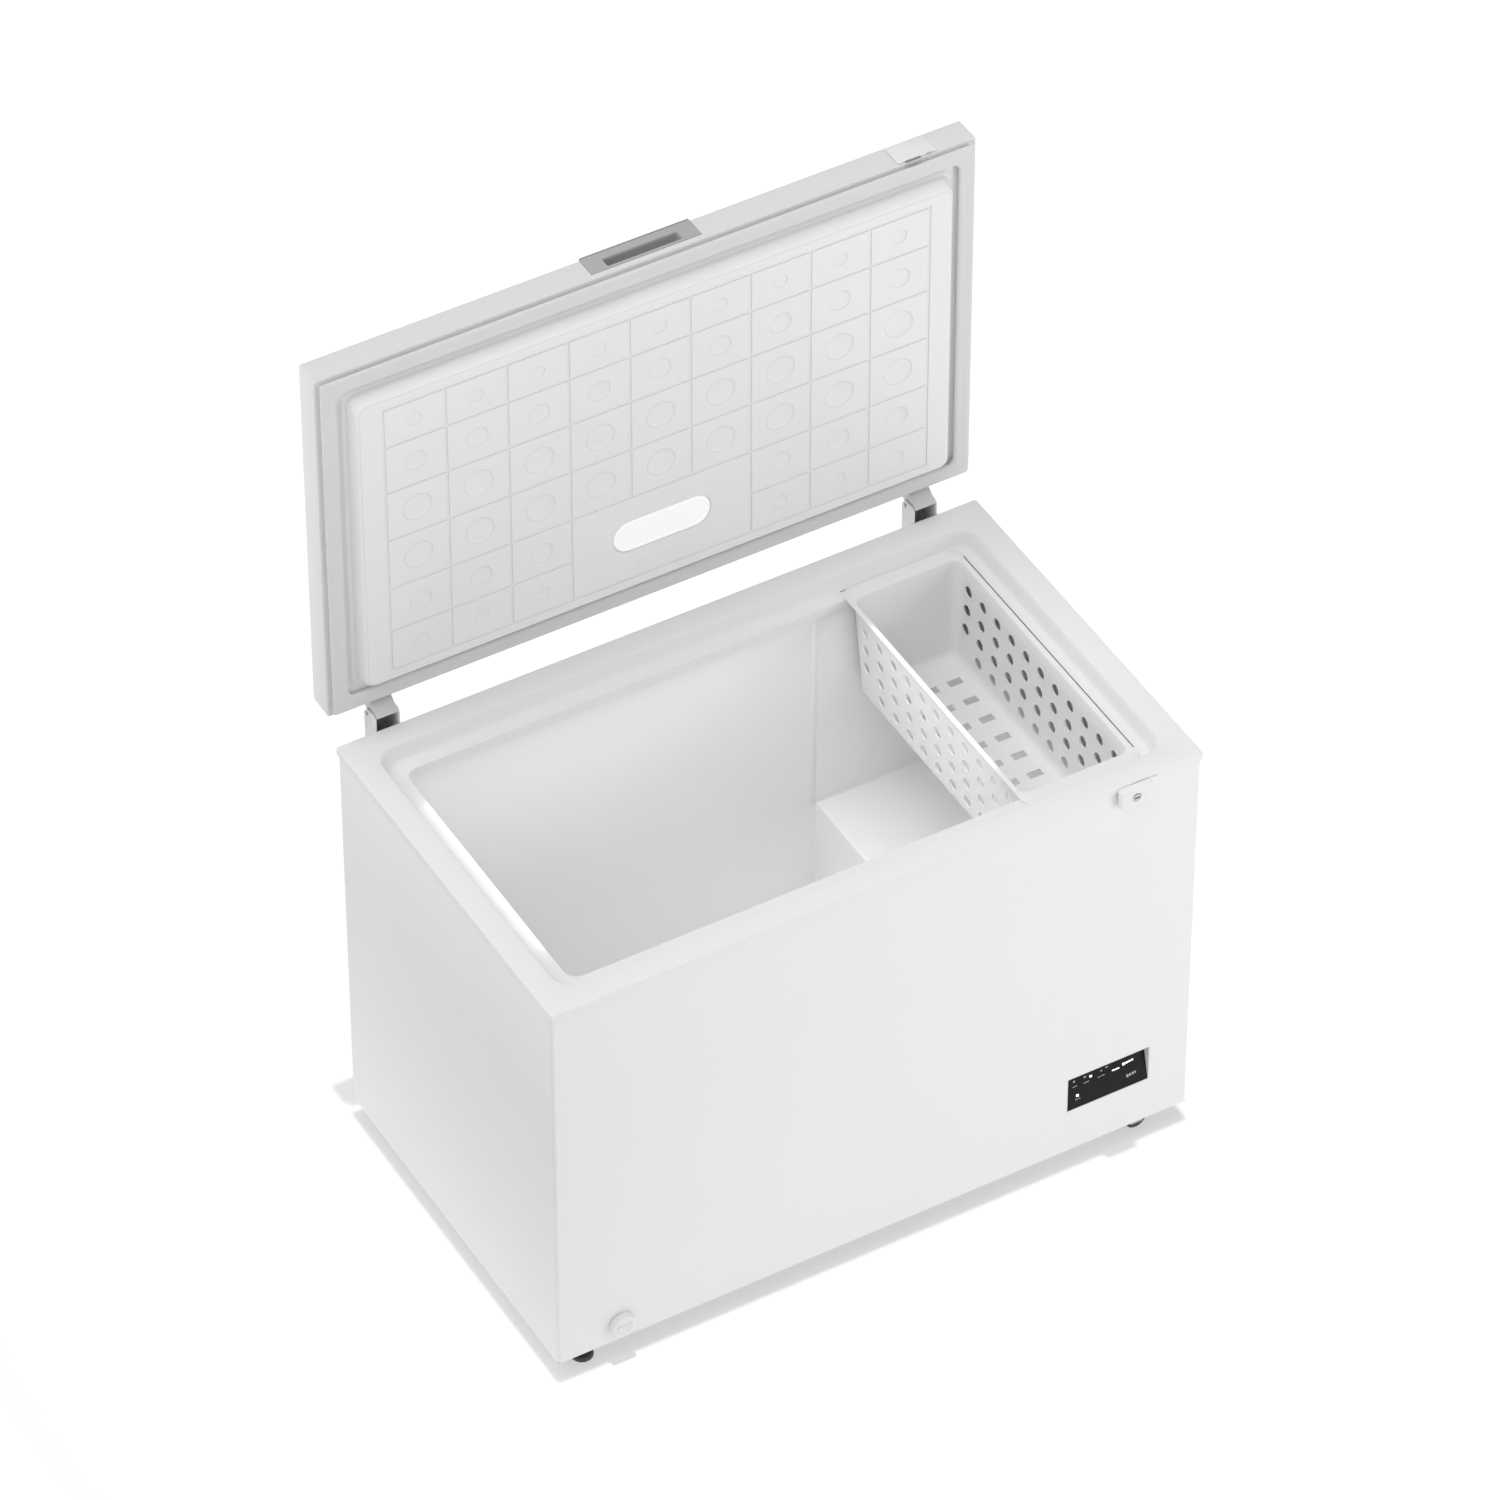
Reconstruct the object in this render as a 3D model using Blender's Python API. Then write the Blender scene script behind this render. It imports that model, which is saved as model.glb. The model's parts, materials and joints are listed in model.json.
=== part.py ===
"""Chest freezer with its lid standing open.

Metres, +Z up. The cabinet's front faces -Y and its right side faces +X. The floor is Z = 0, and the whole
object's box is centred on X = Y = 0. Every position below is written about the middle of the cabinet; the
empty "freezer_frame" then shifts the lot along Y. The lid is modelled closed, about its hinge axis, and the
empty "lid_axis" turns it open.
"""

from math import cos, pi, radians, sin

import bmesh
import bpy
from mathutils import Vector

# Driving dimensions of the cabinet
WIDTH = 1.118
DEPTH = 0.661
RIM_HEIGHT = 0.780
FOOT_HEIGHT = 0.040
SHEET = 0.0008
FIT = 0.0003
PANEL_INSET = 0.0023

# Top collar: how far each edge lies in from the outside, and how far below the rim
COLLAR_WALL = 0.002
COLLAR_LIP_DROP = 0.012
COLLAR_FLAT = 0.042
COLLAR_SLOPE = 0.010
COLLAR_TOE_DEPTH = 0.022
COLLAR_TOE = 0.055
LEDGE_DEPTH = 0.026
LEDGE_EDGE = 0.0755
COLLAR_SKIRT = 0.045
COLLAR_CORNER = 0.004
OPENING_CORNER = 0.026

# Inner tub and the step over the machine bay
TUB_WALL = 0.0008
TUB_CORNER = 0.022
TUB_FLOOR = 0.112
STEP_HEIGHT = 0.348
STEP_WIDTH = 0.251
COIL_SPACE = 0.0086
BAY_WALL = 0.055
BASE_THICKNESS = 0.001

# Lid, measured closed
GASKET_GAP = 0.011
LID_THICKNESS = 0.047
LID_SIDE_MARGIN = 0.0003
LID_SKIN_LIP = 0.0045
LID_CORNER = 0.004
INNER_SHEET = 0.0015
GASKET_INSET = 0.0065
GASKET_WIDTH = 0.0265
PLATEAU_HEIGHT = 0.030
PLATEAU_FOOT = 0.049
PLATEAU_EDGE = 0.0565
PLATEAU_CORNER = 0.030
LID_OPEN_DEG = 90.0

# Hinges
HINGE_INSET = 0.090
HINGE_WIDTH = 0.043
HINGE_BEHIND = 0.0265
HINGE_ABOVE = 0.0155
HINGE_PLATE = 0.003
HINGE_BACK_REACH = 0.036
HINGE_FOOT_DROP = 0.160
HINGE_TOP_RISE = 0.025
HINGE_CHAMFER = 0.006
PIN_RADIUS = 0.003
KNUCKLE_RADIUS = 0.008
SPRING_RADIUS = 0.0085
SPRING_WIRE = 0.0013
SPRING_TURNS = 6
SPRING_BELOW_PIN = 0.0305

# Handle and lock on the lid's front edge
HANDLE_LENGTH = 0.186
HANDLE_FROM_INNER_FACE = 0.008
HANDLE_PROUD = 0.0015
HANDLE_SINK = 0.026
SLOT_LENGTH = 0.1255
SLOT_WIDTH = 0.0175
SLOT_FROM_INNER_EDGE = 0.005
SLOT_DEPTH = 0.022
LOCK_INSET = 0.067
LOCK_LENGTH = 0.068
LOCK_WIDTH = 0.040
LOCK_PROUD = 0.003
KEEPER_INSET = 0.096
KEEPER_LENGTH = 0.056
KEEPER_HEIGHT = 0.036
KEEPER_PROUD = 0.0135
KEEPER_BELOW_RIM = 0.0045
CYLINDER_RADIUS = 0.008
CYLINDER_PROUD = 0.001
CYLINDER_DROP = 0.024
CYLINDER_SIDE = 0.028
HOOK_SLOT_SIDE = 0.025
HOOK_SLOT_LENGTH = 0.044

# Lamp in the lid
LAMP_LENGTH = 0.167
LAMP_WIDTH = 0.057
LAMP_DEPTH = 0.018
LAMP_FROM_HINGE_EDGE = 0.1615
LAMP_WALL = 0.0015
LENS_THICKNESS = 0.002

# Basket
BASKET_WIDTH = 0.2055
BASKET_HEIGHT = 0.188
BASKET_WALL = 0.0025
BASKET_FLANGE = 0.007
BASKET_DRAFT = 0.010
BASKET_FROM_RIGHT = 0.0715
BASKET_CORNER = 0.016

# Control panel
PANEL_LEFT = 0.2215
PANEL_RIGHT = 0.0735
PANEL_BOTTOM = 0.124
PANEL_TOP = 0.195
PANEL_TILT_DEPTH = 0.017
HOUSING_DEPTH = 0.040
HOUSING_WALL = 0.0012
FASCIA_THICKNESS = 0.003

# Drain
DRAIN_INSET = 0.111
DRAIN_HEIGHT = 0.074
DRAIN_BACK = 0.110
DRAIN_TUBE = 0.010
DRAIN_BORE = 0.0075
DRAIN_BEND = 0.016
KNOB_RADIUS = 0.021
KNOB_PROUD = 0.012

# Feet on the left, rollers on the right
FOOT_INSET = 0.061
ROLLER_INSET = 0.078
FOOT_FROM_FACE = 0.0355
FOOT_PAD_RADIUS = 0.018
FOOT_PAD_HEIGHT = 0.009
FOOT_STEM_RADIUS = 0.005
ROLLER_RADIUS = 0.018
ROLLER_WIDTH = 0.020
AXLE_RADIUS = 0.003

# Machine bay
COMPRESSOR_RADIUS = 0.072
COMPRESSOR_HEIGHT = 0.165
COMPRESSOR_INSET = 0.140
COMPRESSOR_FROM_BACK = 0.190
TRAY_LIFT = 0.012
EVAPORATOR_TURNS = 5
EVAPORATOR_PITCH = 0.062
EVAPORATOR_TUBE = 0.0036
CONDENSER_ROWS = 7
CONDENSER_PITCH = 0.064
CONDENSER_TUBE = 0.0023
INTAKE_SLOTS = 5
INTAKE_PITCH = 0.016

# Vent in the right side, and the cable gland in the back
VENT_LENGTH = 0.230
VENT_HEIGHT = 0.110
VENT_BOTTOM = 0.100
VENT_FROM_BACK = 0.070
VENT_SLATS = 7
FRAME_WIDTH = 0.010
GLAND_RADIUS = 0.009
GLAND_INSET = 0.075
GLAND_HEIGHT = 0.085

HALF_W = WIDTH / 2
HALF_D = DEPTH / 2
FACE_X = HALF_W - PANEL_INSET
FACE_Y = HALF_D - PANEL_INSET
TUB_INSET = LEDGE_EDGE - COLLAR_WALL - FIT
TUB_X = HALF_W - TUB_INSET
TUB_Y = HALF_D - TUB_INSET
TUB_TOP = RIM_HEIGHT - LEDGE_DEPTH - COLLAR_WALL - 0.001
STEP_X = TUB_X - STEP_WIDTH
FOAM_X = FACE_X - SHEET - 0.006
FOAM_Y = FACE_Y - SHEET - 0.006
BAY_X = STEP_X + BAY_WALL
BAY_TOP = STEP_HEIGHT - BAY_WALL
BASE_TOP = FOOT_HEIGHT + FIT + BASE_THICKNESS
LID_BOTTOM = RIM_HEIGHT + GASKET_GAP
LID_TOP = LID_BOTTOM + LID_THICKNESS
LID_X = HALF_W - LID_SIDE_MARGIN
LID_Y = HALF_D
GLAND_PLACE = (HALF_W - GLAND_INSET, 0, GLAND_HEIGHT)
DRAIN_X = -HALF_W + DRAIN_INSET
DRAIN_Y = -HALF_D + DRAIN_BACK
DRAIN_FRONT = (DRAIN_X, 0, DRAIN_HEIGHT)
KEEPER_X0 = HALF_W - KEEPER_INSET - KEEPER_LENGTH
HOOK_X0 = KEEPER_X0 + HOOK_SLOT_SIDE
HOOK_X1 = HOOK_X0 + HOOK_SLOT_LENGTH
CYLINDER_X = KEEPER_X0 + CYLINDER_SIDE
CYLINDER_Z = RIM_HEIGHT - CYLINDER_DROP
LEDGE_Z = RIM_HEIGHT - LEDGE_DEPTH + FIT
BASKET_RIGHT = HALF_W - BASKET_FROM_RIGHT
BASKET_HALF_Y = TUB_Y - 0.006
HINGE_Y = HALF_D + HINGE_BEHIND
HINGE_Z = RIM_HEIGHT + HINGE_ABOVE
LID_BACK = HINGE_Y + LID_TOP + HANDLE_PROUD - HINGE_Z
FRONT_REACH = FACE_Y + max(KEEPER_PROUD + CYLINDER_PROUD, KNOB_PROUD)
Y_SHIFT = (FRONT_REACH - LID_BACK) / 2

FINISHES = {
    "white_enamel": ((0.86, 0.86, 0.86), 0.35, 0.0),
    "white_plastic": ((0.80, 0.80, 0.80), 0.45, 0.0),
    "liner_white": ((0.74, 0.74, 0.75), 0.40, 0.0),
    "silver_plastic": ((0.42, 0.42, 0.43), 0.40, 0.2),
    "black_gloss": ((0.01, 0.01, 0.012), 0.15, 0.0),
    "gasket_grey": ((0.66, 0.66, 0.67), 0.60, 0.0),
    "foam": ((0.75, 0.66, 0.42), 0.90, 0.0),
    "zinc_steel": ((0.55, 0.56, 0.57), 0.40, 0.9),
    "copper": ((0.72, 0.38, 0.24), 0.35, 1.0),
    "aluminium": ((0.78, 0.78, 0.80), 0.35, 1.0),
    "compressor_black": ((0.02, 0.02, 0.02), 0.50, 0.0),
    "black_rubber": ((0.02, 0.02, 0.02), 0.80, 0.0),
    "dark_plastic": ((0.08, 0.08, 0.09), 0.50, 0.0),
    "board_green": ((0.03, 0.18, 0.08), 0.50, 0.0),
    "lamp_lens": ((0.95, 0.95, 0.93), 0.30, 0.0),
}


def clear_scene():
    for obj in list(bpy.data.objects):
        bpy.data.objects.remove(obj, do_unlink=True)


def finish(name):
    """The named finish as a material, made once."""
    found = bpy.data.materials.get(name)
    if found:
        return found
    colour, roughness, metallic = FINISHES[name]
    material = bpy.data.materials.new(name)
    material.use_nodes = True
    shader = material.node_tree.nodes["Principled BSDF"]
    shader.inputs["Base Color"].default_value = (*colour, 1.0)
    shader.inputs["Roughness"].default_value = roughness
    shader.inputs["Metallic"].default_value = metallic
    material.diffuse_color = (*colour, 1.0)
    return material


class Body:
    """A rigid body: an empty on its joint's axis, which carries pieces drawn about the cabinet's middle."""

    def __init__(self, name, pivot=(0, 0, 0), parent=None):
        self.pivot = Vector(pivot)
        self.holder = bpy.data.objects.new(name, None)
        self.holder.location = self.pivot
        self.holder.parent = parent
        bpy.context.scene.collection.objects.link(self.holder)

    def take(self, name, data):
        obj = bpy.data.objects.new(name, data)
        obj.parent = self.holder
        bpy.context.scene.collection.objects.link(obj)
        return obj

    def mesh_from(self, name, bm):
        bmesh.ops.recalc_face_normals(bm, faces=bm.faces)
        bmesh.ops.translate(bm, verts=bm.verts, vec=-self.pivot)
        mesh = bpy.data.meshes.new(name)
        bm.to_mesh(mesh)
        bm.free()
        return mesh

    def piece(self, name, bm, finish_name, cutters=()):
        """Adds a solid, with each cutter taken out of it."""
        mesh = self.mesh_from(name, bm)
        mesh.materials.append(finish(finish_name))
        mesh.shade_smooth()
        mesh.set_sharp_from_angle(angle=radians(35))
        obj = self.take(name, mesh)
        for number, cutter in enumerate(cutters):
            tool = self.take(f"{name}_cutter_{number}", self.mesh_from(f"{name}_cutter", cutter))
            tool.hide_render = True
            tool.display_type = "WIRE"
            modifier = obj.modifiers.new(f"cut_{number}", "BOOLEAN")
            modifier.operation = "DIFFERENCE"
            modifier.solver = "EXACT"
            modifier.object = tool
        return obj

    def pipe(self, name, points, radius, finish_name):
        """Adds a bent rod of round section along the points."""
        curve = bpy.data.curves.new(name, "CURVE")
        curve.dimensions = "3D"
        curve.bevel_depth = radius
        curve.bevel_resolution = 1
        curve.use_fill_caps = True
        spline = curve.splines.new("POLY")
        spline.points.add(len(points) - 1)
        for knot, point in zip(spline.points, points):
            knot.co = (*(Vector(point) - self.pivot), 1.0)
        curve.materials.append(finish(finish_name))
        return self.take(name, curve)


def block(low, high, bevel=0.0):
    """A box between two corners, its edges rounded by the bevel."""
    low, high = Vector(low), Vector(high)
    bm = bmesh.new()
    bmesh.ops.create_cube(bm, size=1.0)
    bmesh.ops.scale(bm, verts=bm.verts, vec=high - low)
    bmesh.ops.translate(bm, verts=bm.verts, vec=(low + high) / 2)
    if bevel:
        bmesh.ops.bevel(bm, geom=bm.edges[:], offset=bevel, segments=2, profile=0.5, affect="EDGES")
    return bm


def join(*meshes):
    """One bmesh that holds several separate solids."""
    whole = bmesh.new()
    for bm in meshes:
        copy = bpy.data.meshes.new("joined")
        bmesh.ops.recalc_face_normals(bm, faces=bm.faces)
        bm.to_mesh(copy)
        bm.free()
        whole.from_mesh(copy)
        bpy.data.meshes.remove(copy)
    return whole


def loft(loops, ring=False):
    """Bridges loops of equal length in turn; the ends are capped, or joined to each other in a ring."""
    bm = bmesh.new()
    rows = [[bm.verts.new(point) for point in loop] for loop in loops]
    pairs = list(zip(rows, rows[1:])) + ([(rows[-1], rows[0])] if ring else [])
    for here, there in pairs:
        for k in range(len(here)):
            after = (k + 1) % len(here)
            bm.faces.new((here[k], here[after], there[after], there[k]))
    if not ring:
        bm.faces.new(rows[0])
        bm.faces.new(rows[-1])
    return bm


def rounded(half_x, half_y, radius, z, centre=(0, 0), steps=3):
    """A rectangle with round corners, flat at height z."""
    corners = ((1, 1, 0), (-1, 1, 90), (-1, -1, 180), (1, -1, 270))
    points = []
    for side_x, side_y, start in corners:
        for k in range(steps + 1):
            angle = radians(start + 90 * k / steps)
            points.append((
                centre[0] + side_x * (half_x - radius) + radius * cos(angle),
                centre[1] + side_y * (half_y - radius) + radius * sin(angle),
                z,
            ))
    return points


def stadium(length, width, z, centre, steps=6):
    """A slot outline with half-round ends, long along X."""
    return rounded(length / 2, width / 2, width / 2 - 1e-5, z, centre, steps)


TURN_TO = {
    "X": lambda a, b, h: Vector((h, a, b)),
    "Y": lambda a, b, h: Vector((b, h, a)),
    "Z": lambda a, b, h: Vector((a, b, h)),
}


def turned(profile, centre, axis="Z", sides=16, ring=False):
    """A turned solid: the profile's (radius, height) points swept about the axis through the centre."""
    place = TURN_TO[axis]
    angles = [2 * pi * (k + 0.5) / sides for k in range(sides)]
    return loft(
        [[Vector(centre) + place(r * cos(a), r * sin(a), h) for a in angles] for r, h in profile], ring
    )


def rod(radius, start, end, centre, axis="Z", sides=16):
    return turned([(radius, start), (radius, end)], centre, axis, sides)


def washer(inner, outer, start, end, centre, axis="Z", sides=16):
    profile = [(inner, start), (outer, start), (outer, end), (inner, end)]
    return turned(profile, centre, axis, sides, ring=True)


def prism(outline, plane, low, high):
    """Extrudes an outline, given in the XZ or YZ plane, between two places along the third axis."""
    place = {"XZ": lambda a, b, c: (a, c, b), "YZ": lambda a, b, c: (c, a, b)}[plane]
    return loft([[place(a, b, c) for a, b in outline] for c in (low, high)])


def tub_solid(grow, top):
    """The space inside the tub, grown outward by the given amount, up to the top."""
    outline = [
        (-TUB_X - grow, TUB_FLOOR - grow),
        (STEP_X + grow, TUB_FLOOR - grow),
        (STEP_X + grow, STEP_HEIGHT - grow),
        (TUB_X + grow, STEP_HEIGHT - grow),
        (TUB_X + grow, top),
        (-TUB_X - grow, top),
    ]
    bm = prism(outline, "XZ", -TUB_Y - grow, TUB_Y + grow)
    corners = [
        edge for edge in bm.edges
        if all(abs(abs(v.co.x) - TUB_X - grow) < 1e-6 for v in edge.verts)
        and abs(edge.verts[0].co.z - edge.verts[1].co.z) > 0.1
    ]
    bmesh.ops.bevel(
        bm, geom=corners, offset=TUB_CORNER + grow, segments=3, profile=0.5, affect="EDGES"
    )
    return bm


def make_panels(cabinet):
    top = RIM_HEIGHT - COLLAR_WALL - 0.0025
    inner_x = FACE_X - SHEET
    front = -FACE_Y
    housing = block(
        (HALF_W - PANEL_LEFT - FIT, front - 0.01, PANEL_BOTTOM - FIT),
        (HALF_W - PANEL_RIGHT + FIT, front + 0.01, PANEL_TOP + FIT),
    )
    drain = rod(DRAIN_BORE + 2 * FIT, front - 0.01, front + 0.01, DRAIN_FRONT, "Y")
    cabinet.piece(
        "front_panel",
        block((-FACE_X, front, FOOT_HEIGHT), (FACE_X, front + SHEET, top)),
        "white_enamel",
        (housing, drain),
    )
    gland = rod(GLAND_RADIUS, FACE_Y - 0.01, FACE_Y + 0.01, GLAND_PLACE, "Y", 12)
    cabinet.piece(
        "back_panel",
        block((-FACE_X, FACE_Y - SHEET, FOOT_HEIGHT), (FACE_X, FACE_Y, top)),
        "white_enamel",
        (gland,),
    )
    low = (-FACE_X, front + SHEET + FIT, FOOT_HEIGHT)
    high = (-inner_x, FACE_Y - SHEET - FIT, top)
    cabinet.piece("left_panel", block(low, high), "white_enamel")
    vent = block(*vent_box(inner_x - 0.01, FACE_X + 0.01, FIT))
    low = (inner_x, front + SHEET + FIT, FOOT_HEIGHT)
    high = (FACE_X, FACE_Y - SHEET - FIT, top)
    cabinet.piece("right_panel", block(low, high), "white_enamel", (vent,))


def vent_box(x0, x1, grow=0.0):
    """The corners of the vent's opening in the right side, between two X planes."""
    y1 = HALF_D - VENT_FROM_BACK
    return (
        (x0, y1 - VENT_LENGTH - grow, VENT_BOTTOM - grow),
        (x1, y1 + grow, VENT_BOTTOM + VENT_HEIGHT + grow),
    )


def make_vent(cabinet):
    low, high = vent_box(FACE_X - SHEET - 0.002, FACE_X + 0.002)
    pitch = (VENT_HEIGHT - FRAME_WIDTH) / VENT_SLATS
    slots = []
    for k in range(VENT_SLATS):
        z0 = VENT_BOTTOM + FRAME_WIDTH + k * pitch
        slots.append(block(
            (low[0] - 0.01, low[1] + FRAME_WIDTH, z0),
            (high[0] + 0.01, high[1] - FRAME_WIDTH, z0 + pitch - FRAME_WIDTH / 2),
        ))
    cabinet.piece("side_vent_grille", block(low, high), "white_plastic", (join(*slots),))


def make_base(cabinet):
    x, y = FACE_X - SHEET - FIT, FACE_Y - SHEET - FIT
    z0, z1 = FOOT_HEIGHT + FIT, BASE_TOP
    holes = []
    length = FACE_X - BAY_X - 0.06
    for k in range(INTAKE_SLOTS):
        y0 = -0.02 - k * INTAKE_PITCH
        holes.append(block(
            (BAY_X + 0.03, y0, z0 - 0.01), (BAY_X + 0.03 + length, y0 + INTAKE_PITCH / 2, z1 + 0.01)
        ))
    cabinet.piece("base_pan", block((-x, -y, z0), (x, y, z1)), "zinc_steel", (join(*holes),))


def make_foam(cabinet):
    top = RIM_HEIGHT - COLLAR_SKIRT - 0.002
    shell = block((-FOAM_X, -FOAM_Y, BASE_TOP + FIT), (FOAM_X, FOAM_Y, top))
    bay = block((BAY_X, -HALF_D, 0), (HALF_W, HALF_D, BAY_TOP))
    cavity = tub_solid(TUB_WALL + COIL_SPACE, top + 0.02)
    bore = DRAIN_TUBE + FIT
    down = rod(bore, DRAIN_HEIGHT - bore, TUB_FLOOR, (DRAIN_X, DRAIN_Y, 0))
    along = rod(bore, -HALF_D, DRAIN_Y, DRAIN_FRONT, "Y")
    room = DRAIN_BEND + bore
    elbow = block((DRAIN_X - bore, DRAIN_Y - room, DRAIN_HEIGHT - bore),
                  (DRAIN_X + bore, DRAIN_Y + bore, DRAIN_HEIGHT + room))
    cabinet.piece("body_insulation", shell, "foam", (bay, cavity, down, along, elbow))


def make_tub(cabinet):
    hole = rod(DRAIN_BORE, TUB_FLOOR - 0.02, TUB_FLOOR + 0.02, (DRAIN_X, DRAIN_Y, 0))
    cabinet.piece(
        "inner_tub", tub_solid(TUB_WALL, TUB_TOP), "liner_white", (tub_solid(0.0, TUB_TOP + 0.02), hole)
    )


def collar_loop(inset, depth, radius):
    return rounded(HALF_W - inset, HALF_D - inset, radius, RIM_HEIGHT - depth)


def make_collar(cabinet):
    """The moulded frame over the cabinet's top edge: a lip, a flat, a slope and a ledge with a skirt."""
    wall, toe, corner = COLLAR_WALL, COLLAR_TOE, OPENING_CORNER
    outside, inside = COLLAR_CORNER, 0.0008
    slope_end = COLLAR_FLAT + COLLAR_SLOPE
    loops = [
        collar_loop(0, COLLAR_LIP_DROP, outside),
        collar_loop(0, 0.003, outside),
        collar_loop(0.0009, 0.0009, outside),
        collar_loop(0.003, 0, outside),
        collar_loop(COLLAR_FLAT, 0, corner + 0.008),
        collar_loop(COLLAR_FLAT + 0.004, 0.003, corner + 0.006),
        collar_loop(slope_end, COLLAR_TOE_DEPTH - 0.005, corner + 0.002),
        collar_loop(toe, LEDGE_DEPTH - 0.0002, corner),
        collar_loop(LEDGE_EDGE - 0.002, LEDGE_DEPTH, TUB_CORNER + wall),
        collar_loop(LEDGE_EDGE, LEDGE_DEPTH + 0.002, TUB_CORNER - wall),
        collar_loop(LEDGE_EDGE, COLLAR_SKIRT, TUB_CORNER - wall),
        collar_loop(LEDGE_EDGE - wall, COLLAR_SKIRT, TUB_CORNER),
        collar_loop(LEDGE_EDGE - wall, LEDGE_DEPTH + wall + 0.001, TUB_CORNER),
        collar_loop(toe - 0.001, LEDGE_DEPTH + wall - 0.001, corner),
        collar_loop(slope_end - wall, COLLAR_TOE_DEPTH - 0.004, corner + 0.002),
        collar_loop(COLLAR_FLAT + 0.002, 0.005, corner + 0.006),
        collar_loop(COLLAR_FLAT - 0.002, wall, corner + 0.008),
        collar_loop(wall + 0.0015, wall, inside),
        collar_loop(wall, wall + 0.0015, inside),
        collar_loop(wall, COLLAR_LIP_DROP, inside),
    ]
    groove = block(
        (HOOK_X0, -HALF_D - 0.01, RIM_HEIGHT - 0.0072), (HOOK_X1, -HALF_D + 0.0012, RIM_HEIGHT - 0.0045)
    )
    cabinet.piece("top_collar", loft(loops, ring=True), "white_plastic", (groove,))


def make_lock(cabinet, barrel):
    top = RIM_HEIGHT - COLLAR_LIP_DROP - FIT
    lift = RIM_HEIGHT - KEEPER_BELOW_RIM
    face = -FACE_Y - KEEPER_PROUD
    body = block((KEEPER_X0, face, top - KEEPER_HEIGHT + 0.0075),
                 (KEEPER_X0 + KEEPER_LENGTH, -FACE_Y - FIT, lift), 0.003)
    lip = block((KEEPER_X0 - 0.01, -HALF_D - FIT, top), (KEEPER_X0 + KEEPER_LENGTH + 0.01, 0, lift + 0.01))
    bore = rod(CYLINDER_RADIUS + FIT, face - 0.01, face + 0.009, (CYLINDER_X, 0, CYLINDER_Z), "Y")
    cabinet.piece("lock_keeper", body, "white_plastic", (lip, bore))
    profile = [(CYLINDER_RADIUS, face + 0.0085), (CYLINDER_RADIUS, face - 0.0002),
               (CYLINDER_RADIUS - 0.001, face - CYLINDER_PROUD)]
    key_slot = block((CYLINDER_X - 0.005, face - 0.01, CYLINDER_Z - 0.0012),
                     (CYLINDER_X + 0.005, face + 0.004, CYLINDER_Z + 0.0012))
    barrel.piece("lock_cylinder", turned(profile, (CYLINDER_X, 0, CYLINDER_Z), "Y", 16), "zinc_steel",
                 (key_slot,))


def fascia_outline(start, thickness):
    """The tilted panel's section in the YZ plane, its face starting behind the housing's front edge."""
    z0, z1 = PANEL_BOTTOM + HOUSING_WALL + FIT, PANEL_TOP - HOUSING_WALL - FIT
    y0, y1 = -FACE_Y + start, -FACE_Y + start + PANEL_TILT_DEPTH
    return [(y0, z0), (y1, z1), (y1 + thickness, z1), (y0 + thickness, z0)]


def make_control_panel(cabinet):
    x0, x1 = HALF_W - PANEL_LEFT, HALF_W - PANEL_RIGHT
    front, wall = -FACE_Y, HOUSING_WALL
    box = block((x0, front, PANEL_BOTTOM), (x1, front + HOUSING_DEPTH, PANEL_TOP))
    hollow = block((x0 + wall, front - 0.01, PANEL_BOTTOM + wall),
                   (x1 - wall, front + HOUSING_DEPTH - wall, PANEL_TOP - wall))
    cabinet.piece("control_housing", box, "white_plastic", (hollow,))
    inside = x0 + wall + FIT, x1 - wall - FIT
    cabinet.piece("control_fascia", prism(fascia_outline(0.0005, FASCIA_THICKNESS), "YZ", *inside),
                  "black_gloss")
    board = prism(fascia_outline(0.0005 + FASCIA_THICKNESS + 0.004, 0.0016), "YZ",
                  inside[0] + 0.004, inside[1] - 0.004)
    cabinet.piece("control_board", board, "board_green")


def hose(points, outer, inner, sides=12):
    """A hollow hose along points that share one X."""
    rows = []
    for k, point in enumerate(points):
        before, after = points[max(k - 1, 0)], points[min(k + 1, len(points) - 1)]
        along = (Vector(after) - Vector(before)).normalized()
        rows.append((Vector(point), Vector((1, 0, 0)), along.cross(Vector((1, 0, 0)))))
    loops = []
    for radius, order in ((outer, rows), (inner, rows[::-1])):
        for middle, side, up in order:
            angles = [2 * pi * (k + 0.5) / sides for k in range(sides)]
            loops.append([middle + radius * (cos(a) * side + sin(a) * up) for a in angles])
    return loft(loops, ring=True)


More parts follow.
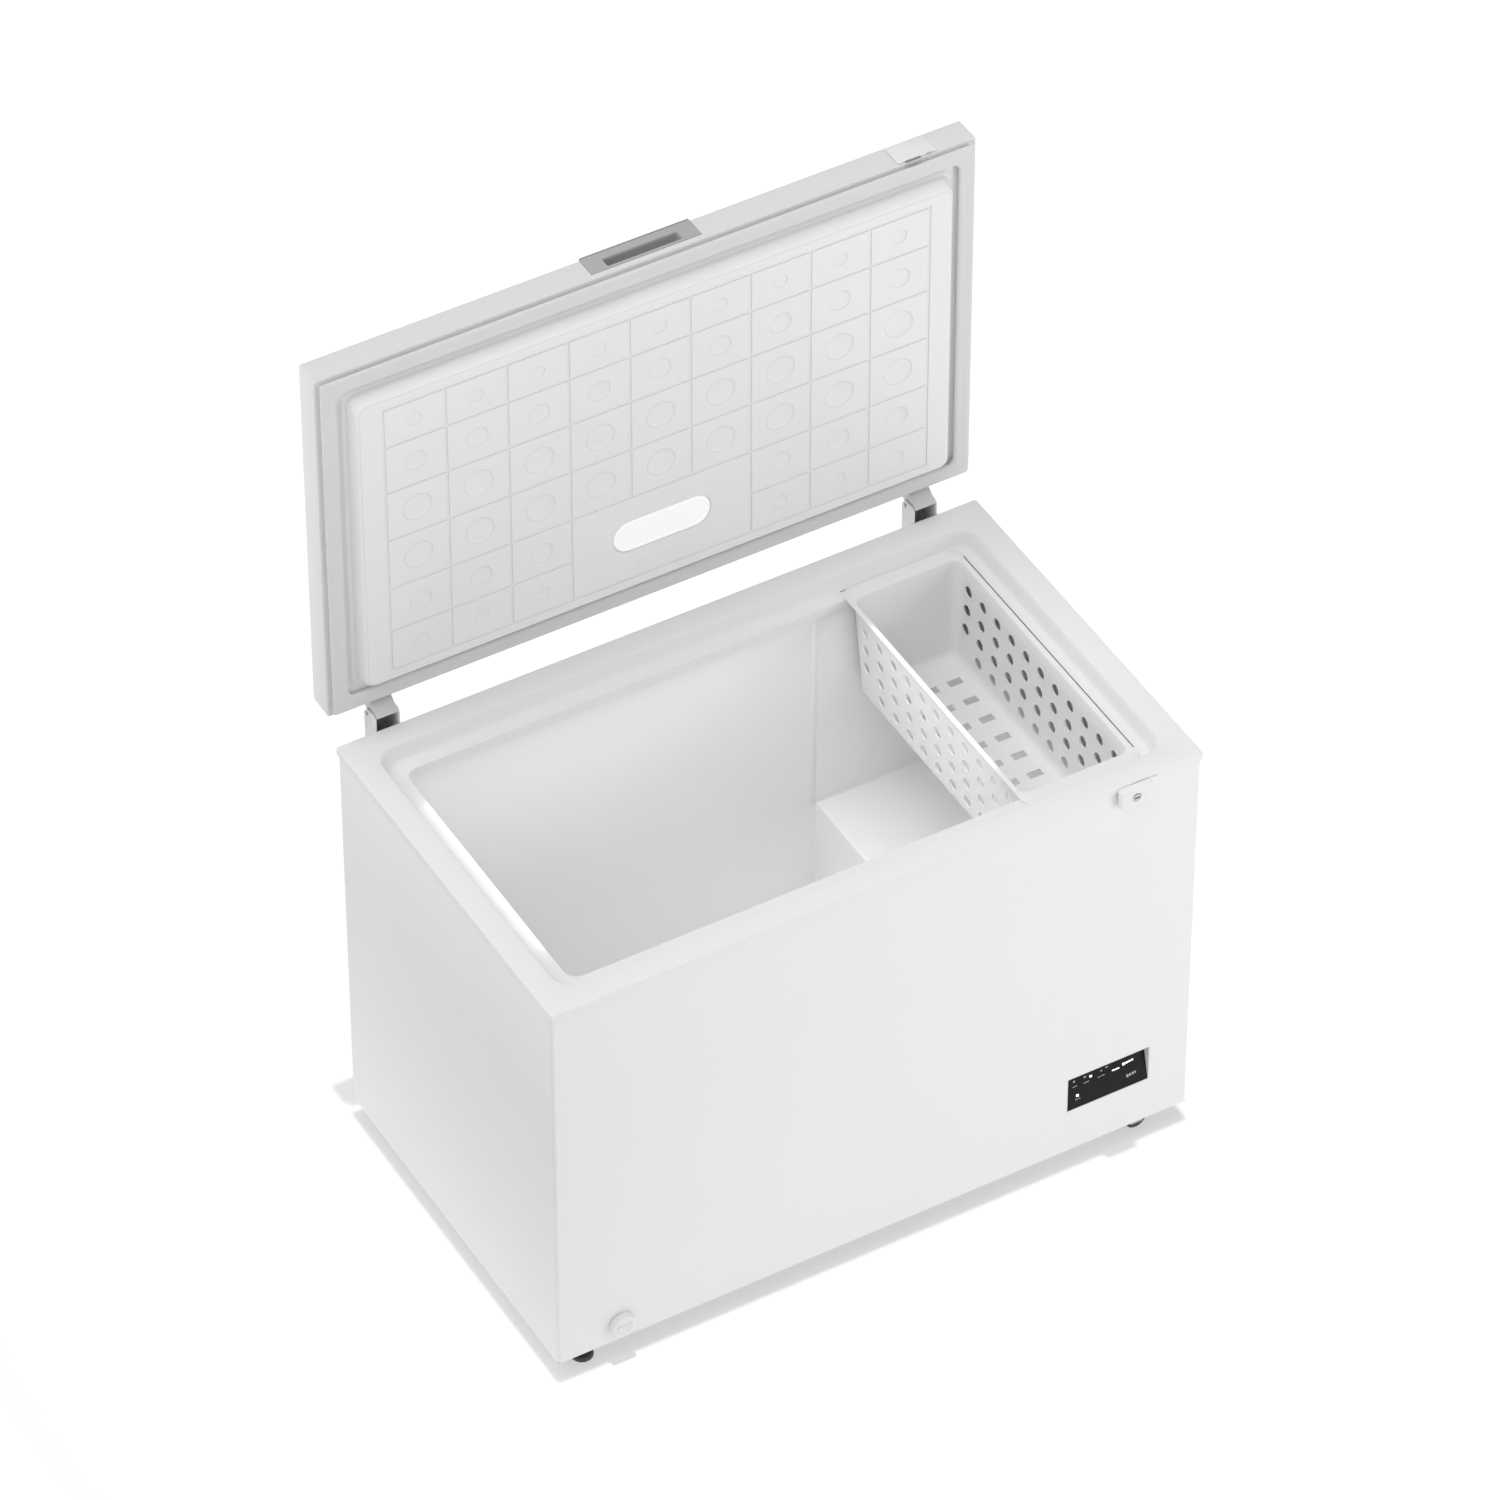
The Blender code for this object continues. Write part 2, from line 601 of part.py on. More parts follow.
def make_drain(cabinet, knob, plug):
    bend = DRAIN_BEND
    path = [(DRAIN_X, DRAIN_Y, TUB_FLOOR - TUB_WALL - FIT), (DRAIN_X, DRAIN_Y, DRAIN_HEIGHT + bend)]
    path += [(DRAIN_X, DRAIN_Y - bend + bend * cos(a), DRAIN_HEIGHT + bend - bend * sin(a))
             for a in (radians(30), radians(60))]
    path += [(DRAIN_X, DRAIN_Y - bend, DRAIN_HEIGHT), (DRAIN_X, -FACE_Y + SHEET + FIT, DRAIN_HEIGHT)]
    cabinet.piece("drain_hose", hose(path, DRAIN_TUBE - 0.0002, DRAIN_BORE), "white_plastic")
    face = -FACE_Y - FIT
    stem = DRAIN_BORE - 2 * FIT
    profile = [
        (stem, face + 0.030), (stem, face), (KNOB_RADIUS, face), (KNOB_RADIUS, face - KNOB_PROUD + 0.004),
        (KNOB_RADIUS - 0.003, face - KNOB_PROUD + FIT),
    ]
    knob.piece("drain_knob", turned(profile, DRAIN_FRONT, "Y", 24), "white_plastic")
    floor = TUB_FLOOR + FIT
    profile = [(0.006, floor - 0.018), (0.006, floor), (0.015, floor), (0.015, floor + 0.004),
               (0.006, floor + 0.006), (0.005, floor + 0.014)]
    plug.piece("drain_plug", turned(profile, (DRAIN_X, DRAIN_Y, 0), "Z", 16), "black_rubber")


def coil_round_tub(turns, pitch, start):
    """Points of a tube wound round the tub, rising evenly."""
    away = TUB_WALL + COIL_SPACE / 2
    loop = rounded(TUB_X + away, TUB_Y + away, TUB_CORNER + away, 0.0)
    total = len(loop)
    return [(loop[k % total][0], loop[k % total][1], start + pitch * k / total)
            for k in range(turns * total)]


def make_refrigeration(cabinet):
    points = coil_round_tub(EVAPORATOR_TURNS, EVAPORATOR_PITCH, STEP_HEIGHT + 0.020)
    cabinet.pipe("evaporator_coil", points, EVAPORATOR_TUBE, "aluminium")
    y = FACE_Y - SHEET - 0.003
    rows, pitch, reach = CONDENSER_ROWS, CONDENSER_PITCH, HALF_W - 0.080
    points = []
    for row in range(rows):
        side = 1 if row % 2 == 0 else -1
        z = BAY_TOP + 0.025 + row * pitch
        points += [(-side * reach, y, z), (side * reach, y, z)]
        if row < rows - 1:
            points += [(side * (reach + pitch / 2 * sin(a)), y, z + pitch / 2 * (1 - cos(a)))
                       for a in (radians(45), radians(90), radians(135))]
    cabinet.pipe("condenser_coil", points, CONDENSER_TUBE, "copper")
    middle = Vector((HALF_W - COMPRESSOR_INSET, HALF_D - COMPRESSOR_FROM_BACK, 0))
    tray = BASE_TOP + FIT
    grip = tray + 0.002 + FIT
    plate = grip + TRAY_LIFT + FIT
    shell = plate + 0.0025 + FIT
    reach = COMPRESSOR_RADIUS + 0.014
    low = middle + Vector((-reach - 0.010, -reach - 0.010, tray))
    high = middle + Vector((reach + 0.010, reach + 0.010, tray + 0.002))
    cabinet.piece("compressor_tray", block(low, high), "zinc_steel")
    hold = reach - 0.012
    feet = [middle + Vector((sx * hold, sy * hold, 0)) for sx in (-1, 1) for sy in (-1, 1)]
    for number, foot in enumerate(feet, 1):
        grommet = rod(0.010, grip, grip + TRAY_LIFT, foot, "Z", 10)
        cabinet.piece(f"compressor_grommet_{number}", grommet, "black_rubber")
    cabinet.piece("compressor_mount", block(middle + Vector((-reach, -reach, plate)),
                                            middle + Vector((reach, reach, plate + 0.0025))), "zinc_steel")
    r, h = COMPRESSOR_RADIUS, COMPRESSOR_HEIGHT
    profile = [(r * 0.6, shell), (r * 0.88, shell + 0.012), (r, shell + 0.035), (r, shell + h - 0.055),
               (r * 0.94, shell + h - 0.028), (r * 0.72, shell + h - 0.008), (r * 0.4, shell + h)]
    cabinet.piece("compressor", turned(profile, middle, "Z", 20), "compressor_black")
    side = middle.x - r - 0.002
    cabinet.piece("compressor_relay_box", block((side - 0.026, middle.y - 0.028, shell + 0.045),
                                                (side, middle.y + 0.028, shell + 0.105), 0.003),
                  "dark_plastic")
    dryer = Vector((BAY_X + 0.030, HALF_D - 0.045, 0))
    profile = [(0.004, 0.085), (0.009, 0.093), (0.009, 0.165), (0.004, 0.173)]
    cabinet.piece("filter_drier", turned(profile, dryer, "Z", 10), "copper")
    top = shell + h + 0.012
    line = [(middle.x + 0.02, middle.y, shell + h + FIT), (middle.x + 0.02, middle.y, top),
            (middle.x + 0.02, middle.y + 0.012, top + 0.006), (middle.x, dryer.y - 0.012, top + 0.006),
            (middle.x - 0.012, dryer.y, top + 0.006), (dryer.x + 0.014, dryer.y, top + 0.006),
            (dryer.x, dryer.y, top - 0.008), (dryer.x, dryer.y, 0.173 + FIT)]
    cabinet.pipe("discharge_line", line, 0.003, "copper")


def make_gland(cabinet):
    y0 = FACE_Y + FIT
    profile = [(GLAND_RADIUS - FIT, y0 - 0.012), (GLAND_RADIUS - FIT, y0), (0.014, y0), (0.014, y0 + 0.004),
               (0.008, y0 + 0.012), (0.0045, y0 + 0.012), (0.0045, y0 - 0.012)]
    cabinet.piece("mains_gland", turned(profile, GLAND_PLACE, "Y", 12, ring=True), "dark_plastic")


def foot_places():
    """Where the two levelling feet stand, front then rear."""
    reach = HALF_D - FOOT_FROM_FACE
    return [(-HALF_W + FOOT_INSET, -reach), (-HALF_W + FOOT_INSET, reach)]


def roller_places():
    reach = HALF_D - FOOT_FROM_FACE
    return [(HALF_W - ROLLER_INSET, -reach), (HALF_W - ROLLER_INSET, reach)]


def make_foot(cabinet, foot, end, place):
    """A levelling foot: a pad on a threaded stem, in a socket under the base."""
    socket = washer(FOOT_STEM_RADIUS + FIT, 0.013, FOOT_PAD_HEIGHT + 0.012, FOOT_HEIGHT, (*place, 0))
    cabinet.piece(f"foot_socket_{end}", socket, "zinc_steel")
    r, h = FOOT_PAD_RADIUS, FOOT_PAD_HEIGHT
    profile = [(r - 0.001, 0), (r, 0.001), (r, h - 0.002), (r - 0.002, h), (FOOT_STEM_RADIUS, h + 0.001),
               (FOOT_STEM_RADIUS, FOOT_HEIGHT - 0.002)]
    foot.piece(f"levelling_foot_{end}", turned(profile, (*place, 0), "Z", 16), "dark_plastic")


def make_roller(cabinet, roller, end, place):
    """A fixed roller: a folded bracket under the base, an axle through its cheeks, and the wheel."""
    x, y = place
    half = ROLLER_WIDTH / 2 + FIT
    top = FOOT_HEIGHT
    outline = [(x - 0.020, top), (x - 0.010, ROLLER_RADIUS - 0.007), (x + 0.010, ROLLER_RADIUS - 0.007),
               (x + 0.020, top)]
    body = prism(outline, "XZ", y - half - 0.002, y + half + 0.002)
    gap = block((x - 0.03, y - half, -0.01), (x + 0.03, y + half, top - 0.0015))
    bore = rod(AXLE_RADIUS + FIT, y - 0.03, y + 0.03, (x, 0, ROLLER_RADIUS), "Y", 12)
    cabinet.piece(f"roller_bracket_{end}", body, "zinc_steel", (gap, bore))
    cabinet.piece(f"roller_axle_{end}", rod(AXLE_RADIUS, y - half - 0.004, y + half + 0.004,
                                            (x, 0, ROLLER_RADIUS), "Y", 12), "zinc_steel")
    wheel = washer(AXLE_RADIUS + FIT, ROLLER_RADIUS, y - half + 2 * FIT, y + half - 2 * FIT,
                   (x, 0, ROLLER_RADIUS), "Y", 24)
    roller.piece(f"roller_{end}", wheel, "dark_plastic")


def make_hinge(cabinet, lid, side, name):
    """One hinge: the channel on the cabinet's back, its pin and spring, and the arm on the lid."""
    middle = side * (HALF_W - HINGE_INSET)
    x0, x1 = middle - HINGE_WIDTH / 2, middle + HINGE_WIDTH / 2
    t = HINGE_PLATE
    back = HALF_D + HINGE_BACK_REACH
    foot = RIM_HEIGHT - HINGE_FOOT_DROP
    shelf = RIM_HEIGHT - COLLAR_LIP_DROP - 0.003
    head = RIM_HEIGHT + HINGE_TOP_RISE
    start = FACE_Y + FIT
    front = HALF_D + 0.001
    outline = [(start, foot), (back - 0.014, foot), (back, foot + 0.020), (back, head - 0.012),
               (back - 0.008, head), (front + HINGE_CHAMFER, head), (front, head - HINGE_CHAMFER),
               (front, shelf), (start, shelf)]
    body = prism(outline, "YZ", x0, x1)
    channel = block((x0 + t, start + t, foot + t), (x1 - t, back + 0.02, head + 0.02))
    bore = rod(PIN_RADIUS + FIT, x0 - 0.01, x1 + 0.01, (0, HINGE_Y, HINGE_Z), "X", 12)
    cabinet.piece(f"hinge_bracket_{name}", body, "white_enamel", (channel, bore))
    pin = rod(PIN_RADIUS, x0 - 0.002, x1 + 0.002, (0, HINGE_Y, HINGE_Z), "X", 12)
    cabinet.piece(f"hinge_pin_{name}", pin, "zinc_steel")
    bottom, top = foot + t + 0.003, HINGE_Z - SPRING_BELOW_PIN
    sides = 10
    total = SPRING_TURNS * sides
    turn, rise = 2 * pi / sides, (top - bottom) / total
    coil = [
        (middle + SPRING_RADIUS * cos(turn * k), HINGE_Y + SPRING_RADIUS * sin(turn * k), bottom + rise * k)
        for k in range(total + 1)
    ]
    cabinet.pipe(f"hinge_spring_{name}", coil, SPRING_WIRE, "zinc_steel")
    gap = 2 * FIT
    a0, a1 = x0 + t + gap, x1 - t - gap
    bore = rod(PIN_RADIUS + FIT, a0 - 0.01, a1 + 0.01, (0, HINGE_Y, HINGE_Z), "X", 12)
    lid.piece(f"hinge_arm_{name}", prism(arm_outline(), "YZ", a0, a1), "silver_plastic", (bore,))


def arm_outline():
    """The lid arm's section, drawn about the pin with the lid open and then turned to the shut position."""
    lid_edge = HINGE_BEHIND - FIT
    lid_face = LID_BOTTOM - HINGE_Z + 0.001
    lid_back = LID_TOP - HINGE_Z - 0.003
    lip = 0.001 - HINGE_BEHIND
    points = [(lip + 0.002, 0.0045), (lip, 0.0055), (lip, 0.0075), (lip + 0.001, 0.009),
              (lid_face - 0.0035, lid_edge - 0.0022), (lid_face, lid_edge), (lid_back, lid_edge),
              (lid_back, lid_edge - 0.004)]
    points += [(KNUCKLE_RADIUS * cos(a), KNUCKLE_RADIUS * sin(a))
               for a in [radians(10 - 27 * k) for k in range(8)]]
    return [(HINGE_Y - up, HINGE_Z + back) for back, up in points]


def lid_loop(inset, rise, radius):
    """A loop round the lid, a distance in from its edge, above its underside."""
    return rounded(LID_X - inset, LID_Y - inset, max(radius, 0.001), LID_BOTTOM + rise)


def handle_box(grow=0.0):
    front = -LID_Y
    return (
        (-HANDLE_LENGTH / 2 - grow, front - HANDLE_PROUD - grow, LID_BOTTOM + HANDLE_FROM_INNER_FACE - grow),
        (HANDLE_LENGTH / 2 + grow, front + HANDLE_SINK + grow, LID_TOP + HANDLE_PROUD + grow),
    )


def plateau_loops(away):
    """The inner panel's underside, moved upward and inward by the given amount."""
    drop = [
        (0.040, 0.0, PLATEAU_CORNER + 0.006),
        (0.043, 0.003, PLATEAU_CORNER + 0.004),
        (PLATEAU_FOOT - 0.001, 0.0045, PLATEAU_CORNER + 0.002),
        (PLATEAU_FOOT, 0.007, PLATEAU_CORNER + 0.002),
        (PLATEAU_EDGE - 0.0015, PLATEAU_HEIGHT - 0.004, PLATEAU_CORNER),
        (PLATEAU_EDGE + 0.002, PLATEAU_HEIGHT, PLATEAU_CORNER - 0.002),
    ]
    return [lid_loop(inset + away, away - depth, radius) for inset, depth, radius in drop]


def lamp_outline(grow, z):
    centre = (0, LID_Y - LAMP_FROM_HINGE_EDGE)
    return stadium(LAMP_LENGTH + 2 * grow, LAMP_WIDTH + 2 * grow, z, centre)


def make_lid(lid):
    t = SHEET
    skin = loft([
        lid_loop(0.0022, LID_THICKNESS, LID_CORNER),
        lid_loop(0.0006, LID_THICKNESS - 0.0006, LID_CORNER),
        lid_loop(0, LID_THICKNESS - 0.0022, LID_CORNER),
        lid_loop(0, 0.001, LID_CORNER),
        lid_loop(0.001, 0, LID_CORNER),
        lid_loop(LID_SKIN_LIP, 0, LID_CORNER - 0.002),
        lid_loop(LID_SKIN_LIP, t, LID_CORNER - 0.002),
        lid_loop(t + 0.0004, t, LID_CORNER - t),
        lid_loop(t, LID_THICKNESS - 0.0030, LID_CORNER - t),
        lid_loop(0.003, LID_THICKNESS - t, LID_CORNER - 0.002),
    ])
    lid.piece("lid_skin", skin, "white_enamel", (block(*handle_box(FIT)),))
    flange = t + FIT
    thick = INNER_SHEET
    under = [lid_loop(t + 0.0008, flange, LID_CORNER - t)]
    under += [[(x, y, z + flange) for x, y, z in loop] for loop in plateau_loops(0.0)]
    over = [lid_loop(t + 0.0008, flange + thick, LID_CORNER - t)]
    over += [[(x, y, z + flange) for x, y, z in loop] for loop in plateau_loops(thick)]
    grow = LAMP_WALL + FIT
    lamp_hole = loft([lamp_outline(grow, LID_BOTTOM - 0.05), lamp_outline(grow, LID_BOTTOM)])
    lid.piece("lid_inner_panel", loft(under[::-1] + over), "white_plastic", (lamp_hole,))
    away = thick + FIT
    foam = [[(x, y, z + flange) for x, y, z in loop] for loop in plateau_loops(away)][::-1]
    foam += [
        lid_loop(t + 0.0011, flange + away, LID_CORNER - t),
        lid_loop(t + 0.0011, LID_THICKNESS - 0.0035, 0.003),
        lid_loop(0.0045, LID_THICKNESS - t - FIT, 0.003),
    ]
    top = plateau_face() + LAMP_DEPTH + FIT
    grow += FIT
    lamp_room = loft([lamp_outline(grow, LID_BOTTOM - 0.05), lamp_outline(grow, top)])
    lid.piece("lid_insulation", loft(foam), "foam", (block(*handle_box(2 * FIT)), lamp_room))
    bottom = RIM_HEIGHT + 2 * FIT
    inner = GASKET_INSET + GASKET_WIDTH
    rise, drop = t, bottom - LID_BOTTOM
    gasket = loft([
        lid_loop(GASKET_INSET, rise, 0.004), lid_loop(GASKET_INSET, drop + 0.002, 0.004),
        lid_loop(GASKET_INSET + 0.002, drop, 0.004), lid_loop(inner - 0.004, drop, 0.006),
        lid_loop(inner, drop + 0.004, 0.006), lid_loop(inner, rise, 0.006),
    ], ring=True)
    lid.piece("lid_gasket", gasket, "gasket_grey")


def plateau_face():
    """The height of the inner panel's raised face, with the lid closed."""
    return LID_BOTTOM + SHEET + FIT - PLATEAU_HEIGHT


def make_lamp(lid):
    face = plateau_face()
    top = face + LAMP_DEPTH
    wall = LAMP_WALL
    cup = loft([lamp_outline(wall, face), lamp_outline(wall, top)])
    hollow = loft([lamp_outline(0.0, face - 0.01), lamp_outline(0.0, top - wall)])
    lid.piece("lamp_housing", cup, "white_plastic", (hollow,))
    y = LID_Y - LAMP_FROM_HINGE_EDGE
    half = LAMP_LENGTH / 2 - 0.030
    board = block((-half, y - 0.015, top - wall - FIT - 0.0016), (half, y + 0.015, top - wall - FIT))
    lid.piece("lamp_board", board, "board_green")
    lens = loft([
        lamp_outline(-FIT, face + LENS_THICKNESS), lamp_outline(-FIT, face - 0.0005),
        lamp_outline(-0.004, face - 0.0025),
    ])
    lid.piece("lamp_lens", lens, "lamp_lens")


def make_handle(lid):
    low, high = handle_box()
    slot0 = low[2] + SLOT_FROM_INNER_EDGE
    slot = block((-SLOT_LENGTH / 2, low[1] - 0.01, slot0),
                 (SLOT_LENGTH / 2, low[1] + SLOT_DEPTH, slot0 + SLOT_WIDTH))
    lid.piece("lid_handle", block(low, high, 0.0012), "silver_plastic", (slot,))


def make_lid_lock(lid):
    x1 = HALF_W - LOCK_INSET
    x0 = x1 - LOCK_LENGTH
    front = -LID_Y - FIT
    z0 = LID_BOTTOM + SHEET
    body = block((x0, front - LOCK_PROUD, z0), (x1, front, z0 + LOCK_WIDTH), 0.0012)
    lid.piece("lid_lock_plate", body, "white_plastic")
    y0, y1, tip = front - LOCK_PROUD + 0.0005, front - 0.0004, z0 - 0.0045
    hook = [(y0, z0 - FIT), (y1, z0 - FIT), (y1, tip), (y0, tip)]
    lid.piece("lid_lock_hook", prism(hook, "YZ", HOOK_X0 + 0.004, HOOK_X0 + 0.030), "zinc_steel")


def basket_loop(out, z):
    """A loop round the basket's outer wall at a height, moved outward by the given amount."""
    top = LEDGE_Z + FIT
    lean = BASKET_DRAFT * (top - z) / BASKET_HEIGHT
    middle = BASKET_RIGHT - BASKET_FLANGE - (BASKET_WIDTH / 2 - BASKET_FLANGE)
    half_x = BASKET_WIDTH / 2 - BASKET_FLANGE - lean + out
    half_y = BASKET_HALF_Y - lean + out
    return rounded(half_x, half_y, BASKET_CORNER, z, (middle, 0))


def make_basket(basket):
    top = LEDGE_Z + 0.0025
    floor = top - BASKET_HEIGHT
    wall = BASKET_WALL
    middle = BASKET_RIGHT - BASKET_WIDTH / 2
    half_x, half_y = BASKET_WIDTH / 2, HALF_D - COLLAR_TOE - 0.0015
    flange = [rounded(half_x, half_y, BASKET_CORNER, z, (middle, 0)) for z in (LEDGE_Z, top)]
    loops = [basket_loop(-0.012, floor), basket_loop(-0.003, floor + 0.003), basket_loop(0, floor + 0.012),
             basket_loop(0, LEDGE_Z), flange[0], flange[1], basket_loop(-wall, top),
             basket_loop(-wall, floor + 0.013), basket_loop(-0.013, floor + wall)]
    basket.piece("basket", loft(loops), "white_plastic")


def build():
    clear_scene()
    frame = Body("freezer_frame")
    frame.holder.location = (0, Y_SHIFT, 0)
    root = frame.holder
    cabinet = Body("cabinet", (0, 0, 0), root)
    lid = Body("lid_axis", (0, HINGE_Y, HINGE_Z), root)
    lid.holder.rotation_euler = (-radians(LID_OPEN_DEG), 0, 0)
    basket = Body("basket_axis", (BASKET_RIGHT - BASKET_WIDTH / 2, 0, LEDGE_Z), root)
    knob = Body("drain_knob_axis", (DRAIN_X, -FACE_Y, DRAIN_HEIGHT), root)
    plug = Body("drain_plug_axis", (DRAIN_X, DRAIN_Y, TUB_FLOOR), root)
    barrel = Body("lock_axis", (CYLINDER_X, -FACE_Y, CYLINDER_Z), root)
    make_panels(cabinet)
    make_vent(cabinet)
    make_base(cabinet)
    make_foam(cabinet)
    make_tub(cabinet)
    make_collar(cabinet)
    make_lock(cabinet, barrel)
    make_control_panel(cabinet)
    make_drain(cabinet, knob, plug)
    make_refrigeration(cabinet)
    make_gland(cabinet)
    for end, place in zip(("front", "rear"), foot_places()):
        foot = Body(f"foot_axis_{end}", (*place, 0), root)
        make_foot(cabinet, foot, end, place)
    for end, place in zip(("front", "rear"), roller_places()):
        roller = Body(f"roller_axis_{end}", (*place, ROLLER_RADIUS), root)
        make_roller(cabinet, roller, end, place)
    for side, name in ((-1, "left"), (1, "right")):
        make_hinge(cabinet, lid, side, name)
    make_lid(lid)
    make_lamp(lid)
    make_handle(lid)
    make_lid_lock(lid)
    make_basket(basket)


build()
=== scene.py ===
"""Looks for a chest freezer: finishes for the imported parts, and detailed mouldings that stand in for the
plainer ones. Metres, +Z up. The front faces -Y, and the lid stands open.
"""

import json
from math import cos, pi, radians, sin

import bmesh
import bpy
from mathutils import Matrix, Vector


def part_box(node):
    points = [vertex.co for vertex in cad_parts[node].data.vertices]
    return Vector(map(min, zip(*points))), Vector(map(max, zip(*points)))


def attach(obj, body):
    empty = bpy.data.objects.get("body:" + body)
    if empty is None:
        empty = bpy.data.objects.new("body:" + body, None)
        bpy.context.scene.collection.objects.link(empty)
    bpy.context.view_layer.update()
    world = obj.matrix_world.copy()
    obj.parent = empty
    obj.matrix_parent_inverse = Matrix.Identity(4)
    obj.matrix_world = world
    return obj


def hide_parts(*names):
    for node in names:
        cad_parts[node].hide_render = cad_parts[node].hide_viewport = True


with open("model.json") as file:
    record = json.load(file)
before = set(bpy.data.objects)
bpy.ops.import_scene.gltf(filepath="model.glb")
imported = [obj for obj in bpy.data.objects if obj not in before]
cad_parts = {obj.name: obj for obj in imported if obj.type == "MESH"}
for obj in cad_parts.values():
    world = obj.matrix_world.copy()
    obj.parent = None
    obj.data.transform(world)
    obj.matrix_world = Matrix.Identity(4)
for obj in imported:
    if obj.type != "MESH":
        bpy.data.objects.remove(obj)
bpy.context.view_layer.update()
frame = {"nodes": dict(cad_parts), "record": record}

# Painted sheet, and the gap left round a part let into another
SHEET = 0.0008
FIT_GAP = 0.0003

# The rim's soft slope down to the ledge that carries the basket
SLOPE_INSET = 0.040
SLOPE_RUN = 0.0145
SLOPE_DROP = 0.0256
SLOPE_STEPS = 9
LEDGE_DROP = 0.026

# The tub's step over the machine bay, and its upright corners
STEP_HEIGHT = 0.348
STEP_LENGTH = 0.251
TUB_CORNER = 0.022

# The lid's raised field: how far it stands out, and its rounded shoulder
FIELD_PROUD = 0.0308
SHOULDER_INSET = 0.0542
SHOULDER_RADIUS = 0.0070
SHOULDER_LEAN = 17.5
MOULDING_WALL = 0.0014
FIELD_WALL = 0.0022

# Pressed cells inside the lid, from the top row down
CELL_COLUMNS = 9
CELL_PITCH = 0.1028
CELL_ROW_HEIGHTS = (0.073, 0.088, 0.093, 0.095, 0.084, 0.077)
DIMPLE_SIZES = (0.024, 0.037, 0.050, 0.050, 0.037, 0.024)
CELL_TOP_INSET = 0.075
PLAIN_COLUMNS = (3, 4, 5)
PLAIN_ROWS = (4, 5)
GROOVE_WIDTH = 0.0062
GROOVE_DEPTH = 0.0016

# Basket holes and slots
HOLE_ROWS = 4
HOLE_COLUMNS = 11
HOLE_PITCH_Y = 0.0425
HOLE_PITCH_Z = 0.0377
HOLE_DROP = 0.0413
HOLE_RADIUS = 0.0098
SLOT_ROWS = 9
SLOT_PITCH = 0.0475
SLOT_COLUMN_PITCH = 0.042
SLOT_SIZE = (0.024, 0.014)


def corners(node):
    """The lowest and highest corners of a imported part, and its middle."""
    low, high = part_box(node)
    return low, high, (low + high) / 2


def quarter_round(radius, steps=5):
    """Points round a quarter circle, as (inset, drop), from the side up to the top."""
    for k in range(steps + 1):
        a = radians(90 * k / steps)
        yield radius * (1 - cos(a)), radius * (1 - sin(a))


def rest():
    """Leaves edit mode with nothing selected."""
    if bpy.context.mode != "OBJECT":
        bpy.ops.object.mode_set(mode="OBJECT")
    bpy.ops.object.select_all(action="DESELECT")


def pick(obj):
    """Makes this the only selected object."""
    rest()
    obj.select_set(True)
    bpy.context.view_layer.objects.active = obj
    return obj


def edit(obj):
    """Opens the object in edit mode with nothing selected."""
    pick(obj)
    bpy.ops.object.mode_set(mode="EDIT")
    bpy.ops.mesh.select_all(action="DESELECT")


def choose(obj, kind, wanted):
    """In edit mode, selects the vertices, edges or faces that the test accepts."""
    bpy.ops.mesh.select_mode(type=kind)
    bpy.ops.mesh.select_all(action="DESELECT")
    mesh = bmesh.from_edit_mesh(obj.data)
    parts = {"VERT": mesh.verts, "EDGE": mesh.edges, "FACE": mesh.faces}[kind]
    for part in [part for part in parts if wanted(part)]:
        part.select_set(True)
    mesh.select_flush(True)
    bmesh.update_edit_mesh(obj.data)


def turn_out(obj):
    """Merges doubled points and makes every face point outwards."""
    edit(obj)
    bpy.ops.mesh.select_all(action="SELECT")
    bpy.ops.mesh.remove_doubles(threshold=1e-6)
    bpy.ops.mesh.normals_make_consistent(inside=False)
    rest()
    return obj


def slab(low, high, round_over=0.0, segments=3):
    """A block between two corners, with every edge rounded over."""
    rest()
    low, high = Vector(low), Vector(high)
    bpy.ops.mesh.primitive_cube_add(size=1, location=(low + high) / 2)
    obj = bpy.context.object
    obj.scale = high - low
    bpy.ops.object.transform_apply(location=True, rotation=True, scale=True)
    if round_over:
        edit(obj)
        bpy.ops.mesh.select_all(action="SELECT")
        bpy.ops.mesh.bevel(offset=round_over, offset_type="OFFSET", segments=segments, affect="EDGES")
        rest()
    return obj


def start_empty():
    """An empty mesh in edit mode, ready for loops."""
    rest()
    bpy.ops.mesh.primitive_plane_add(size=1, location=(0, 0, 0))
    obj = bpy.context.object
    bpy.ops.object.mode_set(mode="EDIT")
    bpy.ops.mesh.delete(type="VERT")
    return obj


def skin(obj, ends, way, ring=False):
    """Bridges the loops whose points end at these counts, and fills the two ends.

    The second loop of each pair is moved well clear while they are bridged, so that they join squarely.
    """
    spans = [range(a, b) for a, b in zip(ends, ends[1:])]
    pairs = list(zip(spans, spans[1:])) + ([(spans[-1], spans[0])] if ring else [])
    for here, there in pairs:
        choose(obj, "VERT", lambda v: v.index in there)
        bpy.ops.transform.translate(value=way)
        choose(obj, "VERT", lambda v: v.index in here or v.index in there)
        bpy.ops.mesh.bridge_edge_loops()
        choose(obj, "VERT", lambda v: v.index in there)
        bpy.ops.transform.translate(value=-way)
    for span in () if ring else (spans[0], spans[-1]):
        choose(obj, "VERT", lambda v: v.index in span)
        bpy.ops.mesh.edge_face_add()
    rest()
    return turn_out(obj)


